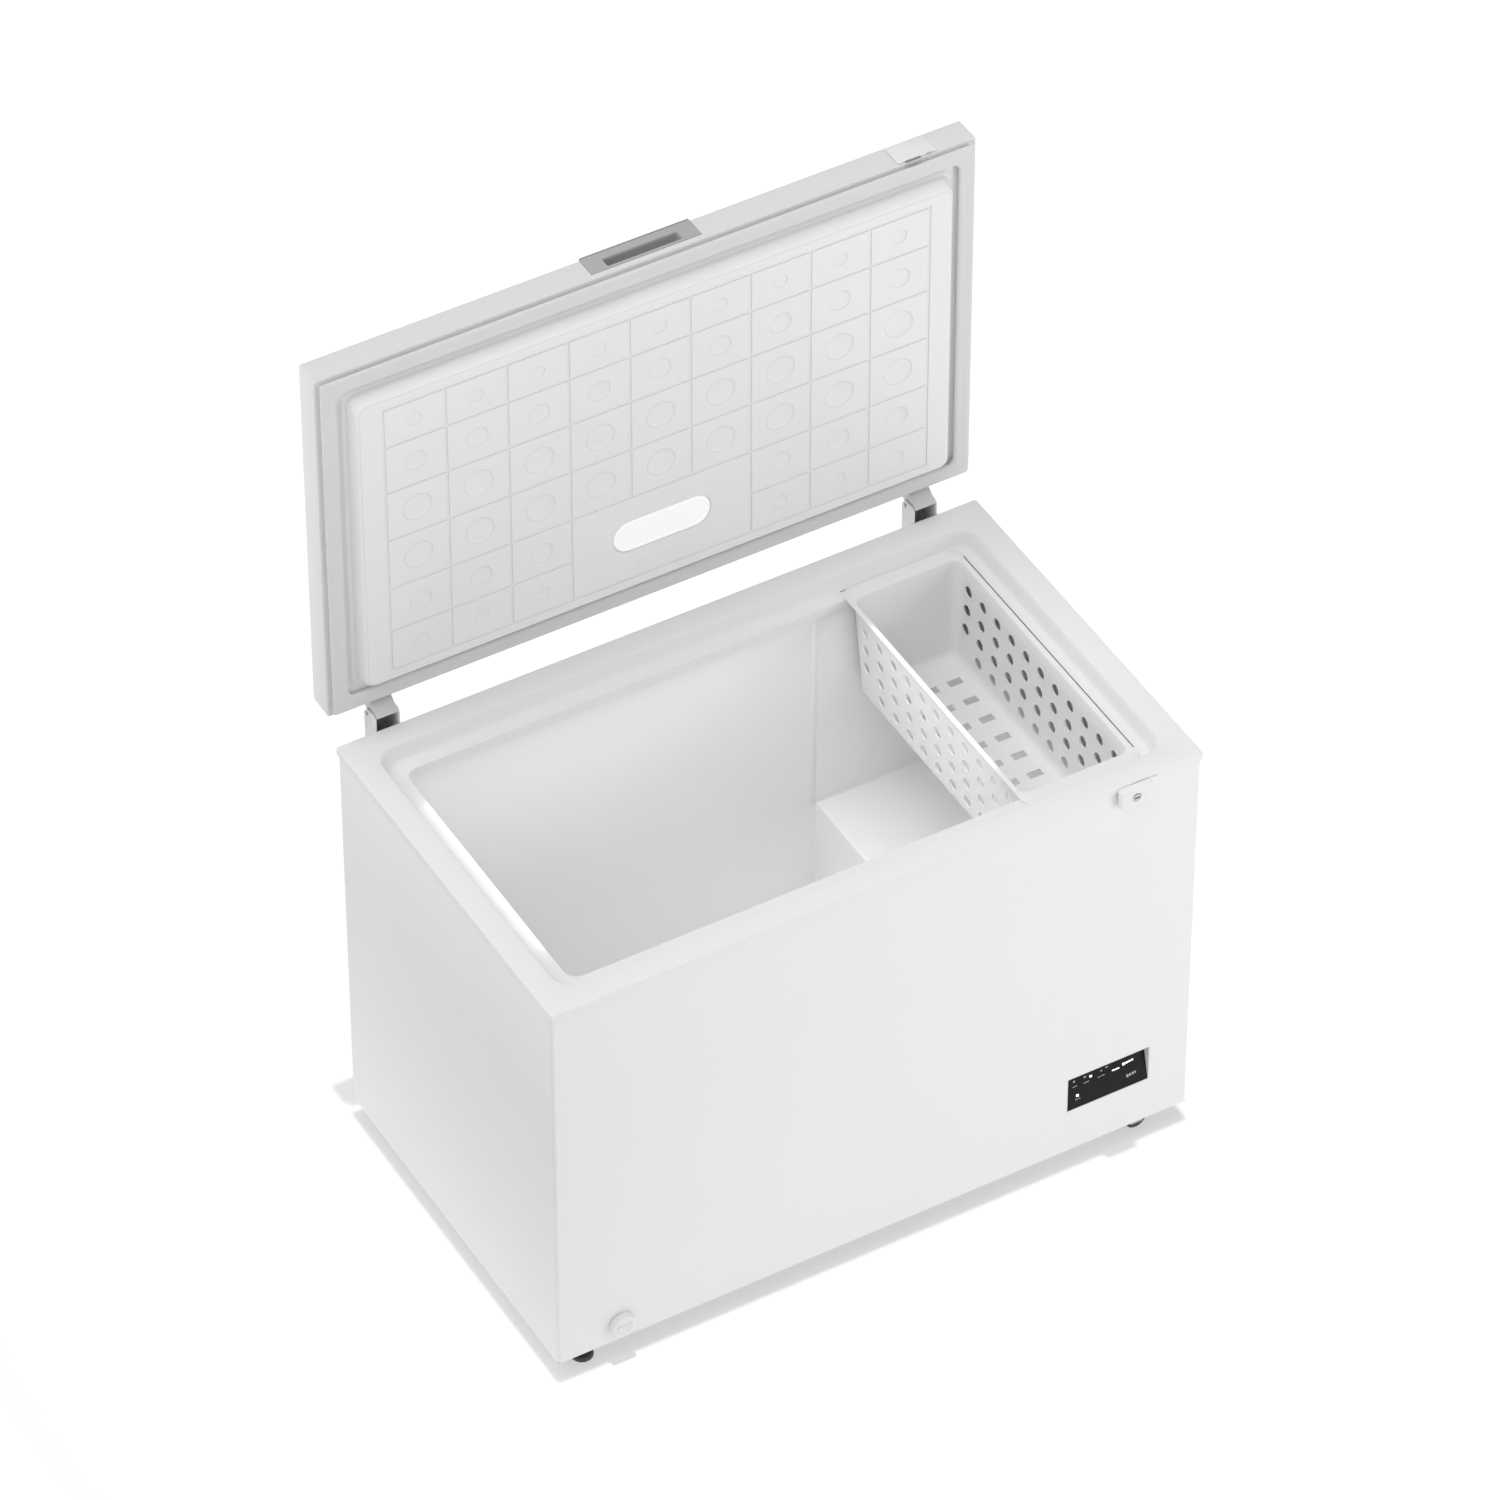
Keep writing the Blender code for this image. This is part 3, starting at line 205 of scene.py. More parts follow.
def stack(loops, centre, upright=False, steps=8, ring=False):
    """Rounded rectangles bridged one after another. Each is (half width, half length, radius, level).

    They lie flat with levels along Z, or stand upright with levels along Y.
    """
    obj = start_empty()
    ends = [0]
    for half_a, half_b, radius, level in loops:
        middle, size = (*centre, level), (half_a, half_b, 1)
        if upright:
            middle, size = (centre[0], level, centre[1]), (half_a, 1, half_b)
        bpy.ops.mesh.primitive_plane_add(size=2, location=middle, rotation=(pi / 2 * upright, 0, 0))
        bpy.ops.transform.resize(value=size, center_override=middle)
        bpy.ops.mesh.bevel(offset=radius, offset_type="OFFSET", segments=steps, affect="VERTICES")
        bpy.ops.mesh.delete(type="ONLY_FACE")
        ends.append(len(bmesh.from_edit_mesh(obj.data).verts))
    return skin(obj, ends, Vector((0, 1, 0) if upright else (0, 0, 1)), ring)


def turned(profile, centre, along="Z", steps=32, ring=False):
    """A round piece: (radius, height) points turned about an axis. Its heights start at the centre."""
    obj = start_empty()
    turn = {"X": (0, pi / 2, 0), "Y": (-pi / 2, 0, 0), "Z": (0, 0, 0)}[along]
    way = {"X": Vector((1, 0, 0)), "Y": Vector((0, 1, 0)), "Z": Vector((0, 0, 1))}[along]
    ends = [0]
    for radius, height in profile:
        bpy.ops.mesh.primitive_circle_add(vertices=steps, radius=radius, rotation=turn,
                                          location=Vector(centre) + way * height)
        ends.append(len(bmesh.from_edit_mesh(obj.data).verts))
    return skin(obj, ends, way, ring)


def merge(objects):
    """Joins several meshes into one object."""
    rest()
    for obj in objects:
        obj.select_set(True)
    bpy.context.view_layer.objects.active = objects[0]
    bpy.ops.object.join()
    return bpy.context.object


def repeat(obj, moves):
    """Copies a mesh to each place, and joins the copies."""
    copies = []
    for move in moves:
        copy = obj.copy()
        copy.data = obj.data.copy()
        copy.location = Vector(copy.location) + Vector(move)
        bpy.context.scene.collection.objects.link(copy)
        copies.append(copy)
    bpy.data.objects.remove(obj)
    whole = merge(copies)
    bpy.ops.object.transform_apply(location=True, rotation=True, scale=True)
    return whole


def cut(obj, *tools):
    """Takes each tool out of the object."""
    for tool in tools:
        pick(obj)
        modifier = obj.modifiers.new("cut", "BOOLEAN")
        modifier.operation = "DIFFERENCE"
        modifier.solver = "EXACT"
        modifier.object = tool
        bpy.ops.object.modifier_apply(modifier=modifier.name)
        bpy.data.objects.remove(tool)
    return obj


def soften(obj, width, segments=2, angle=30):
    """Rounds every edge sharper than the angle."""
    pick(obj)
    modifier = obj.modifiers.new("soften", "BEVEL")
    modifier.width = width
    modifier.segments = segments
    modifier.limit_method = "ANGLE"
    modifier.angle_limit = radians(angle)
    bpy.ops.object.modifier_apply(modifier=modifier.name)
    return obj


class Signal:
    """A number that varies over a surface. Sums and products of it add Math nodes."""

    def __init__(self, finish, socket):
        self.finish = finish
        self.socket = socket

    def math(self, operation, *values):
        node = self.finish.node("ShaderNodeMath", {"operation": operation}, dict(enumerate(values)))
        return Signal(self.finish, node.outputs[0])

    def __add__(self, other):
        return self.math("ADD", self, other)

    def __radd__(self, other):
        return self.math("ADD", other, self)

    def __mul__(self, other):
        return self.math("MULTIPLY", self, other)

    def __rmul__(self, other):
        return self.math("MULTIPLY", other, self)


class Finish:
    """A material built from nodes on the piece's own coordinates."""

    def __init__(self, name, colour, roughness, metallic=0.0, coat=0.0):
        self.name = name
        self.material = bpy.data.materials.new(name)
        self.material.use_nodes = True
        self.tree = self.material.node_tree
        self.shader = self.tree.nodes["Principled BSDF"]
        self.colour = (*colour, 1.0)
        self.material.diffuse_color = self.colour
        constants = {"Base Color": self.colour, "Roughness": roughness, "Metallic": metallic,
                     "Coat Weight": coat, "Coat Roughness": 0.08}
        for socket, value in constants.items():
            self.shader.inputs[socket].default_value = value
        self.place = self.node("ShaderNodeTexCoord").outputs["Object"]

    def node(self, kind, settings=None, inputs=None):
        """Adds a node with its settings, then feeds its sockets with values or links."""
        node = self.tree.nodes.new(kind)
        for key, value in (settings or {}).items():
            setattr(node, key, value)
        for key, value in (inputs or {}).items():
            self.feed(node.inputs[key], value)
        return node

    def feed(self, socket, value):
        """Links a socket or a signal, or sets a plain value."""
        if isinstance(value, Signal):
            value = value.socket
        if isinstance(value, bpy.types.NodeSocket):
            self.tree.links.new(value, socket)
        else:
            socket.default_value = value

    def noise(self, scale, detail=2.0, stretch=(1, 1, 1)):
        """Smooth random variation from 0 to 1, with about this many waves to a metre."""
        spread = self.node("ShaderNodeMapping", {}, {"Vector": self.place, "Scale": stretch})
        texture = self.node("ShaderNodeTexNoise", {}, {
            "Vector": spread.outputs[0], "Scale": scale, "Detail": detail, "Roughness": 0.55})
        return Signal(self, texture.outputs["Fac"])

    def cells(self, scale):
        """Small round cells, from 0 at their middles."""
        texture = self.node("ShaderNodeTexVoronoi", {}, {"Vector": self.place, "Scale": scale})
        return Signal(self, texture.outputs["Distance"])

    def vary_colour(self, signal, other):
        """Blends the base colour towards another where the signal is high."""
        blend = self.node("ShaderNodeMix", {"data_type": "RGBA"}, {0: signal})
        self.feed(blend.inputs[6], self.colour)
        self.feed(blend.inputs[7], (*other, 1.0))
        self.feed(self.shader.inputs["Base Color"], blend.outputs[2])
        return self

    def vary_roughness(self, signal):
        self.feed(self.shader.inputs["Roughness"], signal)
        return self

    def emboss(self, signal, strength, distance):
        """Raises the surface where the signal is high."""
        bump = self.node("ShaderNodeBump", {}, {
            "Height": signal, "Strength": strength, "Distance": distance})
        self.feed(self.shader.inputs["Normal"], bump.outputs[0])
        return self

    def glow(self, colour, strength):
        self.shader.inputs["Emission Color"].default_value = (*colour, 1.0)
        self.shader.inputs["Emission Strength"].default_value = strength
        return self


def grey(level):
    return level, level, level


def enamel(name, level, gloss=0.28):
    """Sprayed and baked paint: fine orange peel under a clear gloss."""
    finish = Finish(name, grey(level), gloss, coat=0.25)
    cloud = finish.noise(3.1, 1.0)
    finish.vary_colour(cloud * 0.5, grey(level * 0.99))
    finish.vary_roughness(gloss + cloud * 0.03)
    return finish.emboss(finish.noise(180, 1.0), 0.02, 0.0002)


def moulded(name, level, roughness=0.38, grain=0.10, coat=0.0, shade=0.97):
    """Moulded plastic: very fine tool grain, and a slow drift in its gloss."""
    finish = Finish(name, grey(level), roughness, coat=coat)
    cloud = finish.noise(6.0)
    finish.vary_colour(cloud * 0.6, grey(level * shade))
    finish.vary_roughness(roughness - 0.05 + cloud * 0.10)
    return finish.emboss(finish.noise(900, 1.0), grain, 0.0002)


def metal(name, colour, roughness, stretch=(1, 1, 1)):
    """Bare or plated metal with drawn lines and cloudy spots."""
    finish = Finish(name, colour, roughness, metallic=1.0)
    cloud = finish.noise(18, 3.0)
    lines = finish.noise(140, 2.0, stretch)
    finish.vary_colour(cloud * 0.7, tuple(c * 0.82 for c in colour))
    finish.vary_roughness(roughness - 0.08 + cloud * 0.12 + lines * 0.06)
    return finish.emboss(lines, 0.08, 0.0002)


def make_finishes():
    """Every finish by name."""
    made = [
        enamel("white_enamel", 0.83), enamel("lid_enamel", 0.76), enamel("liner_white", 0.88, 0.34),
        moulded("white_plastic", 0.83), moulded("lid_moulding", 0.88, 0.36, 0.06, 0.1),
        # A greyer copy of the lid moulding: painted shade for the walls of its grooves and dimples
        moulded("lid_groove_painted_shade", 0.79, 0.42, 0.06, 0.1),
        moulded("basket_plastic", 0.82, 0.42, 0.16),
        moulded("silver_plastic", 0.46, 0.34, 0.10, 0.2, 0.90),
        moulded("handle_dark", 0.28, 0.36, 0.10, 0.2, 0.90),
        moulded("hinge_plastic", 0.66, 0.36, 0.10, 0.1, 0.92),
        moulded("gasket_grey", 0.74, 0.52, 0.20, 0.0, 0.93),
        moulded("black_rubber", 0.025, 0.75, 0.4, 0.0, 0.7),
        moulded("dark_plastic", 0.06, 0.48, 0.3, 0.0, 0.8),
        # Dark grey for the strips on the basket ledge: painted shade in the gap under the basket's rim
        moulded("gap_shade_dark", 0.12, 0.6, 0.3, 0.0, 0.8),
        moulded("compressor_black", 0.02, 0.34, 0.25, 0.3, 0.7),
        metal("zinc_steel", (0.56, 0.57, 0.58), 0.36, (1, 14, 1)),
        metal("copper", (0.78, 0.42, 0.28), 0.32),
        metal("aluminium", (0.76, 0.77, 0.79), 0.34),
    ]
    board = Finish("board_green", (0.02, 0.14, 0.06), 0.35, coat=0.3)
    tracks = board.cells(260)
    made.append(board.vary_colour(tracks * 0.8, (0.05, 0.22, 0.10)).emboss(tracks, 0.3, 0.0004))
    foam = Finish("foam", (0.72, 0.60, 0.34), 0.92)
    bubbles = foam.cells(420)
    made.append(foam.vary_colour(bubbles * 0.6, (0.60, 0.48, 0.25)).emboss(bubbles, 0.6, 0.001))
    gloss = Finish("black_gloss", grey(0.012), 0.10)
    gloss.shader.inputs["Specular IOR Level"].default_value = 0.14
    made.append(gloss.vary_roughness(0.08 + gloss.noise(14) * 0.08))
    for name, level, glow in (("panel_print", 0.45, 0.0), ("panel_light", 0.9, 1.2)):
        mark = Finish(name, grey(level), 0.4).glow((0.96, 0.98, 1.0), glow)
        made.append(mark.vary_roughness(0.35 + mark.noise(200) * 0.1))
    lens = Finish("lamp_lens", grey(0.80), 0.30, coat=0.2).glow((1.0, 1.0, 0.99), 0.30)
    made.append(lens.emboss(lens.cells(300), 0.10, 0.0003))
    return {finish.name: finish.material for finish in made}


MATERIALS = make_finishes()


def dress(obj, finish):
    obj.data.materials.clear()
    obj.data.materials.append(MATERIALS[finish])


def fit_piece(obj, name, body, nodes, finish, angle=35):
    """Finishes a new piece: its name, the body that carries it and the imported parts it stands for."""
    pick(obj)
    obj.name = obj.data.name = name
    bpy.ops.object.transform_apply(location=True, rotation=True, scale=True)
    bpy.ops.object.shade_smooth_by_angle(angle=radians(angle))
    rest()
    dress(obj, finish)
    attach(obj, body)
    if nodes:
        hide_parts(*nodes)


def dress_packed_parts():
    """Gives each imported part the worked-up finish of its slot."""
    for entry in frame["record"]["subparts"]:
        dress(frame["nodes"][entry["node"]], entry["material_slot"])


def rounded_copy(node, name, body, finish, width, segments=2):
    """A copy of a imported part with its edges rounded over, standing in for it."""
    part = frame["nodes"][node]
    obj = bpy.data.objects.new(name, part.data.copy())
    bpy.context.scene.collection.objects.link(obj)
    turn_out(obj)
    edit(obj)
    bpy.ops.mesh.select_all(action="SELECT")
    bpy.ops.mesh.dissolve_limited(angle_limit=radians(1))
    rest()
    soften(obj, width, segments, 35)
    fit_piece(obj, name, body, (node,), finish)


def make_hinges():
    """Both hinges: a folded bracket with a grey plate behind that paints the shade in its opening, and the
    arm that carries the lid.
    """
    cheek = 0.0031
    for side in ("left", "right"):
        low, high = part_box(f"hinge_bracket_{side}")
        rounded_copy(f"hinge_bracket_{side}", f"hinge_cheeks_{side}", "cabinet", "white_plastic",
                     0.0007)
        rounded_copy(f"hinge_arm_{side}", f"hinge_lever_{side}", "lid", "hinge_plastic",
                     0.0009, 3)
        # A grey plate at the back of the bracket: painted shade in the hinge's opening under the arm
        cover = slab((low.x + cheek, high.y - 0.0013, low.z + 0.004),
                     (high.x - cheek, high.y - 0.0001, high.z - 0.009), 0.0003, 1)
        fit_piece(cover, f"hinge_shade_plate_{side}", "cabinet", (), "silver_plastic")


def make_drain_cap():
    """The front drain's round cap, with a grip across its face and a stem behind."""
    low, high, middle = corners("drain_knob")
    r, stem = (high.x - low.x) / 2, 0.0069
    cap = turned([(stem, 0.0415), (stem, 0.0118), (r - 0.0006, 0.0117), (r, 0.0110), (r, 0.0030),
                  (r - 0.0006, 0.0014), (r - 0.0020, 0.0004), (r - 0.0040, 0), (r - 0.0070, 0.0003),
                  (r - 0.0085, 0.0016), (0.0040, 0.0019)], (middle.x, low.y, middle.z), "Y", 48)
    grip = slab((middle.x - 0.0125, low.y + 0.0002, middle.z - 0.0022),
                (middle.x + 0.0125, low.y + 0.0040, middle.z + 0.0022), 0.0009, 3)
    fit_piece(merge([cap, grip]), "drain_cap", "knob", ("drain_knob",), "white_plastic")


def make_lid_lock():
    """The lock's plate and hook on the lid's front edge, and two small tabs on the plate."""
    rounded_copy("lid_lock_plate", "lock_plate_cover", "lid", "white_plastic", 0.0010, 3)
    rounded_copy("lid_lock_hook", "lock_hook", "lid", "zinc_steel", 0.0003, 1)
    low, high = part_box("lid_lock_plate")
    tab, pitch, inset = 0.010, 0.036, 0.0006
    tabs = []
    for k in range(2):
        x = low.x + 0.012 + k * pitch
        tabs.append(slab((x, low.y - 0.0018, low.z + inset), (x + tab, low.y + 0.0022, high.z - inset),
                         0.0004, 2))
    fit_piece(merge(tabs), "lock_plate_tabs", "lid", (), "silver_plastic")


def make_outer_wrap():
    """The painted sheet round the cabinet, folded at its upright corners."""
    low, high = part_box("front_panel")
    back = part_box("back_panel")[1].y
    half_x, half_y, middle = high.x, (back - low.y) / 2, (back + low.y) / 2
    fold, reach, drain_radius, gland_radius = 0.0065, 0.01, 0.0081, 0.0093
    loops = [(half_x, half_y, fold, low.z), (half_x, half_y, fold, high.z),
             (half_x - SHEET, half_y - SHEET, fold - SHEET, high.z),
             (half_x - SHEET, half_y - SHEET, fold - SHEET, low.z)]
    wrap = stack(loops, (0, middle), ring=True, steps=6)
    a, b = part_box("control_housing")
    window = slab((a.x - FIT_GAP, low.y - reach, a.z - FIT_GAP),
                  (b.x + FIT_GAP, low.y + reach, b.z + FIT_GAP))
    knob = corners("drain_knob")[2]
    drain = turned([(drain_radius, -0.02), (drain_radius, 0.02)], (knob.x, low.y, knob.z), "Y")
    a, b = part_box("side_vent_grille")
    vent = slab((high.x - reach, a.y - FIT_GAP, a.z - FIT_GAP),
                (high.x + reach, b.y + FIT_GAP, b.z + FIT_GAP))
    gland = corners("mains_gland")[2]
    hole = turned([(gland_radius, -0.02), (gland_radius, 0.02)], (gland.x, back, gland.z), "Y", 16)
    cut(wrap, window, drain, vent, hole)
    fit_piece(wrap, "outer_wrap", "cabinet", ("front_panel", "back_panel", "left_panel", "right_panel"),
              "white_enamel", angle=30)


def make_rim():
    """The moulded frame on the cabinet: rounded lip, flat, soft slope and the basket ledge."""
    low, high, middle = corners("top_collar")
    half_x, half_y, rim = high.x, (high.y - low.y) / 2, high.z

    def at(inset, depth, radius):
        return half_x - inset, half_y - inset, radius, rim - depth

    def slope(extra_inset, extra_depth, order):
        for k in order:
            t = k / SLOPE_STEPS
            soft = t * t * (3 - 2 * t)
            yield at(SLOPE_INSET + SLOPE_RUN * t + extra_inset, SLOPE_DROP * soft + extra_depth,
                     0.034 - 0.008 * t)

    wall, lip_depth, corner = 0.0018, 0.012, 0.004
    loops = [at(0, lip_depth, corner)]
    loops += [at(inset, drop, corner) for inset, drop in quarter_round(0.003)]
    loops += slope(0, 0, range(SLOPE_STEPS + 1))
    loops += [at(0.0557, LEDGE_DROP, 0.026), at(0.0737, LEDGE_DROP, 0.024), at(0.0750, 0.0266, 0.0225),
              at(0.0755, 0.0280, 0.022), at(0.0755, 0.0448, 0.022), at(0.0739, 0.0448, 0.023),
              at(0.0739, 0.0285, 0.023), at(0.0552, 0.0280, 0.026)]
    loops += slope(-wall, wall, range(SLOPE_STEPS, -1, -1))
    loops += [at(0.0038, wall, 0.0010), at(wall, 0.0038, 0.0010), at(wall, lip_depth, 0.0010)]
    rim_frame = stack(loops, (0, middle.y), ring=True, steps=10)
    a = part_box("lock_keeper")[0]
    hook_slot = slab((a.x + 0.025, low.y - 0.01, rim - 0.0072), (a.x + 0.069, low.y + 0.0012, rim - 0.0045))
    cut(rim_frame, hook_slot)
    fit_piece(rim_frame, "rim_moulding", "cabinet", ("top_collar",), "white_plastic", angle=40)


def make_tub():
    """The painted liner: the deep part, the step over the machine bay, and the upright seam by the step."""
    low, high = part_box("inner_tub")
    inner_low = low + Vector((SHEET, SHEET, SHEET))
    inner_high = high - Vector((SHEET, SHEET, 0))
    step_x = inner_high.x - STEP_LENGTH
    liner = slab(inner_low, (step_x, inner_high.y, inner_high.z))
    edit(liner)
    bpy.ops.mesh.select_all(action="SELECT")
    bpy.ops.mesh.bisect(plane_co=(0, 0, STEP_HEIGHT), plane_no=(0, 0, 1))
    choose(liner, "FACE", lambda f: f.normal.x > 0.9 and f.calc_center_median().z > STEP_HEIGHT)
    bpy.ops.mesh.extrude_region_move(TRANSFORM_OT_translate={"value": (inner_high.x - step_x, 0, 0)})
    choose(liner, "FACE", lambda f: f.normal.z > 0.9 and f.calc_center_median().z > STEP_HEIGHT + 0.1)
    bpy.ops.mesh.delete(type="FACE")
    ends = inner_low.x, inner_high.x
    choose(liner, "EDGE", lambda e: abs(e.verts[0].co.z - e.verts[1].co.z) > 0.1 and all(
        min(abs(v.co.x - x) for x in ends) < 1e-5 for v in e.verts))
    bpy.ops.mesh.bevel(offset=TUB_CORNER, offset_type="OFFSET", segments=8, affect="EDGES")
    rest()
    soften(liner, 0.004, 3, 50)
    edit(liner)
    bpy.ops.mesh.select_all(action="SELECT")
    bpy.ops.mesh.normals_make_consistent(inside=True)
    pick(liner)
    sheet = liner.modifiers.new("sheet", "SOLIDIFY")
    sheet.thickness = SHEET
    sheet.offset = -1.0
    bpy.ops.object.modifier_apply(modifier=sheet.name)
    drain = corners("drain_plug")[2]
    drain_radius = 0.0075
    bore = turned([(drain_radius, -0.02), (drain_radius, 0.02)], (drain.x, drain.y, inner_low.z), "Z", 24)
    cut(liner, bore)
    fit_piece(liner, "tub_liner", "cabinet", ("inner_tub",), "liner_white", angle=40)
    seam = slab((step_x - 0.0115, inner_high.y - 0.0010, STEP_HEIGHT + 0.002),
                (step_x - 0.0025, inner_high.y + 0.0002, inner_high.z - 0.004), 0.0004, 2)
    fit_piece(seam, "liner_seam", "cabinet", (), "liner_white")


def make_basket():
    """The hanging basket, with round holes in its long walls and slots in its floor, and dark strips
    on the ledge beside it that paint the shade in the gap under its rim."""
    low, high, middle = corners("basket")
    wall, draft, corner, height = 0.0025, 0.010, 0.016, high.z - low.z
    half_x, half_y = (high.x - low.x) / 2, (high.y - low.y) / 2
    body_x, body_y = half_x - 0.007, half_y - 0.0227

    def at(rise, grow=0.0, radius=corner):
        lean = draft * (1 - rise / height)
        return body_x - lean + grow, body_y - lean + grow, radius, low.z + rise

    def flange(inset, drop):
        return half_x - inset, half_y - inset, corner, high.z - drop

    loops = [at(0, -0.014), at(0.0012, -0.0065), at(0.0045, -0.0022), at(0.010, -0.0003), at(0.015),
             at(height - 0.0040), at(height - 0.0026, 0.0006), flange(0.0006, 0.0025),
             flange(0, 0.0019), flange(0, 0.0008), flange(0.0008, 0),
             at(height, 0.0005), at(height - 0.0006, -0.0010), at(height - 0.0025, -wall, 0.015),
             at(0.016, -wall, 0.014), at(0.0100, -wall - 0.0010, 0.014),
             at(0.0056, -wall - 0.0040, 0.013), at(0.0033, -wall - 0.0090, 0.012),
             at(wall, -wall - 0.0150, 0.010)]
    basket = stack(loops, (middle.x, middle.y))
    holes = [(0, (column - (HOLE_COLUMNS - 1) / 2) * HOLE_PITCH_Y, -HOLE_DROP - row * HOLE_PITCH_Z)
             for row in range(HOLE_ROWS) for column in range(HOLE_COLUMNS)
             if row < HOLE_ROWS - 1 or 0 < column < HOLE_COLUMNS - 1]
    drill = turned([(HOLE_RADIUS, -0.15), (HOLE_RADIUS, 0.15)], (middle.x, middle.y, high.z), "X", 24)
    slots = [(x * SLOT_COLUMN_PITCH, (k - (SLOT_ROWS - 1) / 2) * SLOT_PITCH, 0)
             for x in (-1, 0, 1) for k in range(SLOT_ROWS)]
    centre = Vector((middle.x + 0.009, middle.y - 0.009, low.z))
    size = Vector((SLOT_SIZE[0] / 2, SLOT_SIZE[1] / 2, 0.02))
    cut(basket, repeat(drill, holes), repeat(slab(centre - size, centre + size), slots))
    fit_piece(basket, "hanging_basket", "basket", ("basket",), "basket_plastic", 40)
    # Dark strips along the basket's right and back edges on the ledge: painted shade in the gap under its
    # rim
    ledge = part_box("top_collar")[1].z - LEDGE_DROP
    sunk = ledge - 0.0002
    right = slab((high.x + 0.0004, low.y + 0.030, sunk), (high.x + 0.0024, high.y - 0.024, ledge + 0.0012),
                 0.0003, 1)
    back = slab((low.x + 0.002, high.y + 0.0002, sunk), (high.x - 0.020, high.y + 0.0009, ledge + 0.0010),
                0.0002, 1)
    fit_piece(merge([right, back]), "ledge_shade_strips", "cabinet", (), "gap_shade_dark")


def wedge(x0, x1, z0, z1, face):
    """A groove cutter that stands on the lid's raised field and narrows as it goes in."""
    tool = slab((x0, face - 0.001, z0), (x1, face + GROOVE_DEPTH, z1))
    edit(tool)
    choose(tool, "FACE", lambda f: f.normal.y > 0.9)
    middle = ((x0 + x1) / 2, face + GROOVE_DEPTH, (z0 + z1) / 2)
    narrow = [1 - 0.0034 / (b - a) for a, b in ((x0, x1), (z0, z1))]
    bpy.ops.transform.resize(value=(narrow[0], 1, narrow[1]), center_override=middle)
    rest()
    return tool


def cell_lines():
    """Where the cell edges lie: places along X, and heights from the top row down."""
    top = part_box("lid_skin")[1].z - CELL_TOP_INSET
    across = [(k - CELL_COLUMNS / 2) * CELL_PITCH for k in range(CELL_COLUMNS + 1)]
    levels = [top - sum(CELL_ROW_HEIGHTS[:k]) for k in range(len(CELL_ROW_HEIGHTS) + 1)]
    return across, levels


def plain_cell(column, row):
    """Whether a cell is left out for the lamp and its plate."""
    return column in PLAIN_COLUMNS and row in PLAIN_ROWS


def upright_grooves(face):
    """Cutters for the grooves between columns, shorter over the plain cells."""
    across, levels = cell_lines()
    half = GROOVE_WIDTH / 2
    tools = []
    for k, x in enumerate(across):
        inside = k in PLAIN_COLUMNS[1:]
        bottom = levels[PLAIN_ROWS[0]] if inside else levels[-1]
        tools.append(wedge(x - half, x + half, bottom - half, levels[0] + half, face))
    return merge(tools)


def level_grooves(face):
    """Cutters for the grooves between rows, broken by the plain cells."""
    across, levels = cell_lines()
    half, tuck = GROOVE_WIDTH / 2, 0.0002
    tools = []
    for k, z in enumerate(levels):
        spans = [(across[0], across[-1])]
        if k in PLAIN_ROWS[1:]:
            spans = [(across[0], across[PLAIN_COLUMNS[0]]), (across[PLAIN_COLUMNS[-1] + 1], across[-1])]
        for x0, x1 in spans:
            tools.append(wedge(x0 - half + tuck, x1 + half - tuck, z - half, z + half, face - 0.00005))
    return merge(tools)


def dimples(face):
    """Cutters for the round dimple in each cell."""
    across, levels = cell_lines()
    groups = []
    for row, size in enumerate(DIMPLE_SIZES):
        places = [((a + b) / 2, 0, 0) for k, (a, b) in enumerate(zip(across, across[1:]))
                  if not plain_cell(k, row)]
        z, r = (levels[row] + levels[row + 1]) / 2, size / 2
        dish = turned([(r + 0.0010, -0.001), (r, 0.0001), (r * 0.90, 0.0010), (r * 0.66, 0.0015),
                       (r * 0.33, 0.0017)], (0, face, z), "Y", 28)
        groups.append(repeat(dish, places))
    return merge(groups)


def stadium_hole(centre, half_a, half_b, y0, y1):
    """A cutter with round ends, along Y."""
    return stack([(half_a, half_b, half_b - 0.0001, y0), (half_a, half_b, half_b - 0.0001, y1)],
                 centre, upright=True, steps=12)


def make_lid_moulding():
    """The formed panel inside the lid: a raised field with pressed cells, dimples and the lamp's hole."""
    low, high, middle = corners("lid_skin")
    half_x, half_z = high.x, (high.z - low.z) / 2
    flange = low.y + 0.0011

    def at(inset, proud, radius):
        return half_x - inset, half_z - inset, radius, flange - proud

    path = [(0.0395, 0.0, 0.018), (0.0413, 0.0005, 0.018), (0.0428, 0.0020, 0.018),
            (0.0444, 0.0030, 0.0175), (0.0470, 0.0036, 0.017), (0.0483, 0.0046, 0.0165),
            (0.0490, 0.0070, 0.016), (0.0516, 0.0150, 0.0155)]
    for k in range(8):
        a = radians(SHOULDER_LEAN + (90 - SHOULDER_LEAN) * k / 7)
        path.append((SHOULDER_INSET + SHOULDER_RADIUS * (1 - cos(a)),
                     FIELD_PROUD - SHOULDER_RADIUS * (1 - sin(a)), 0.015 - 0.0004 * k))
    front = [at(0.0016, 0, 0.003)] + [at(*point) for point in path]
    back = [at(0.0016, -MOULDING_WALL, 0.003)]
    for inset, proud, radius in path:
        wall = FIELD_WALL if proud > 0.02 else MOULDING_WALL
        back.append(at(inset + MOULDING_WALL, proud - wall, radius))
    panel = stack(back[::-1] + front, (0, middle.z), upright=True, steps=10)
    face = flange - FIELD_PROUD
    a, b, lamp = corners("lamp_housing")
    hole = stadium_hole((0, lamp.z), (b.x - a.x) / 2 + FIT_GAP, (b.z - a.z) / 2 + FIT_GAP,
                        face - 0.01, face + 0.01)
    cut(panel, upright_grooves(face), level_grooves(face), dimples(face), hole)
    fit_piece(panel, "lid_inner_moulding", "lid", ("lid_inner_panel",), "lid_moulding", 25)
    paint_shade_on_groove_walls(panel, face)
    make_lid_plate(face, -0.005, lamp.z - 0.0625)


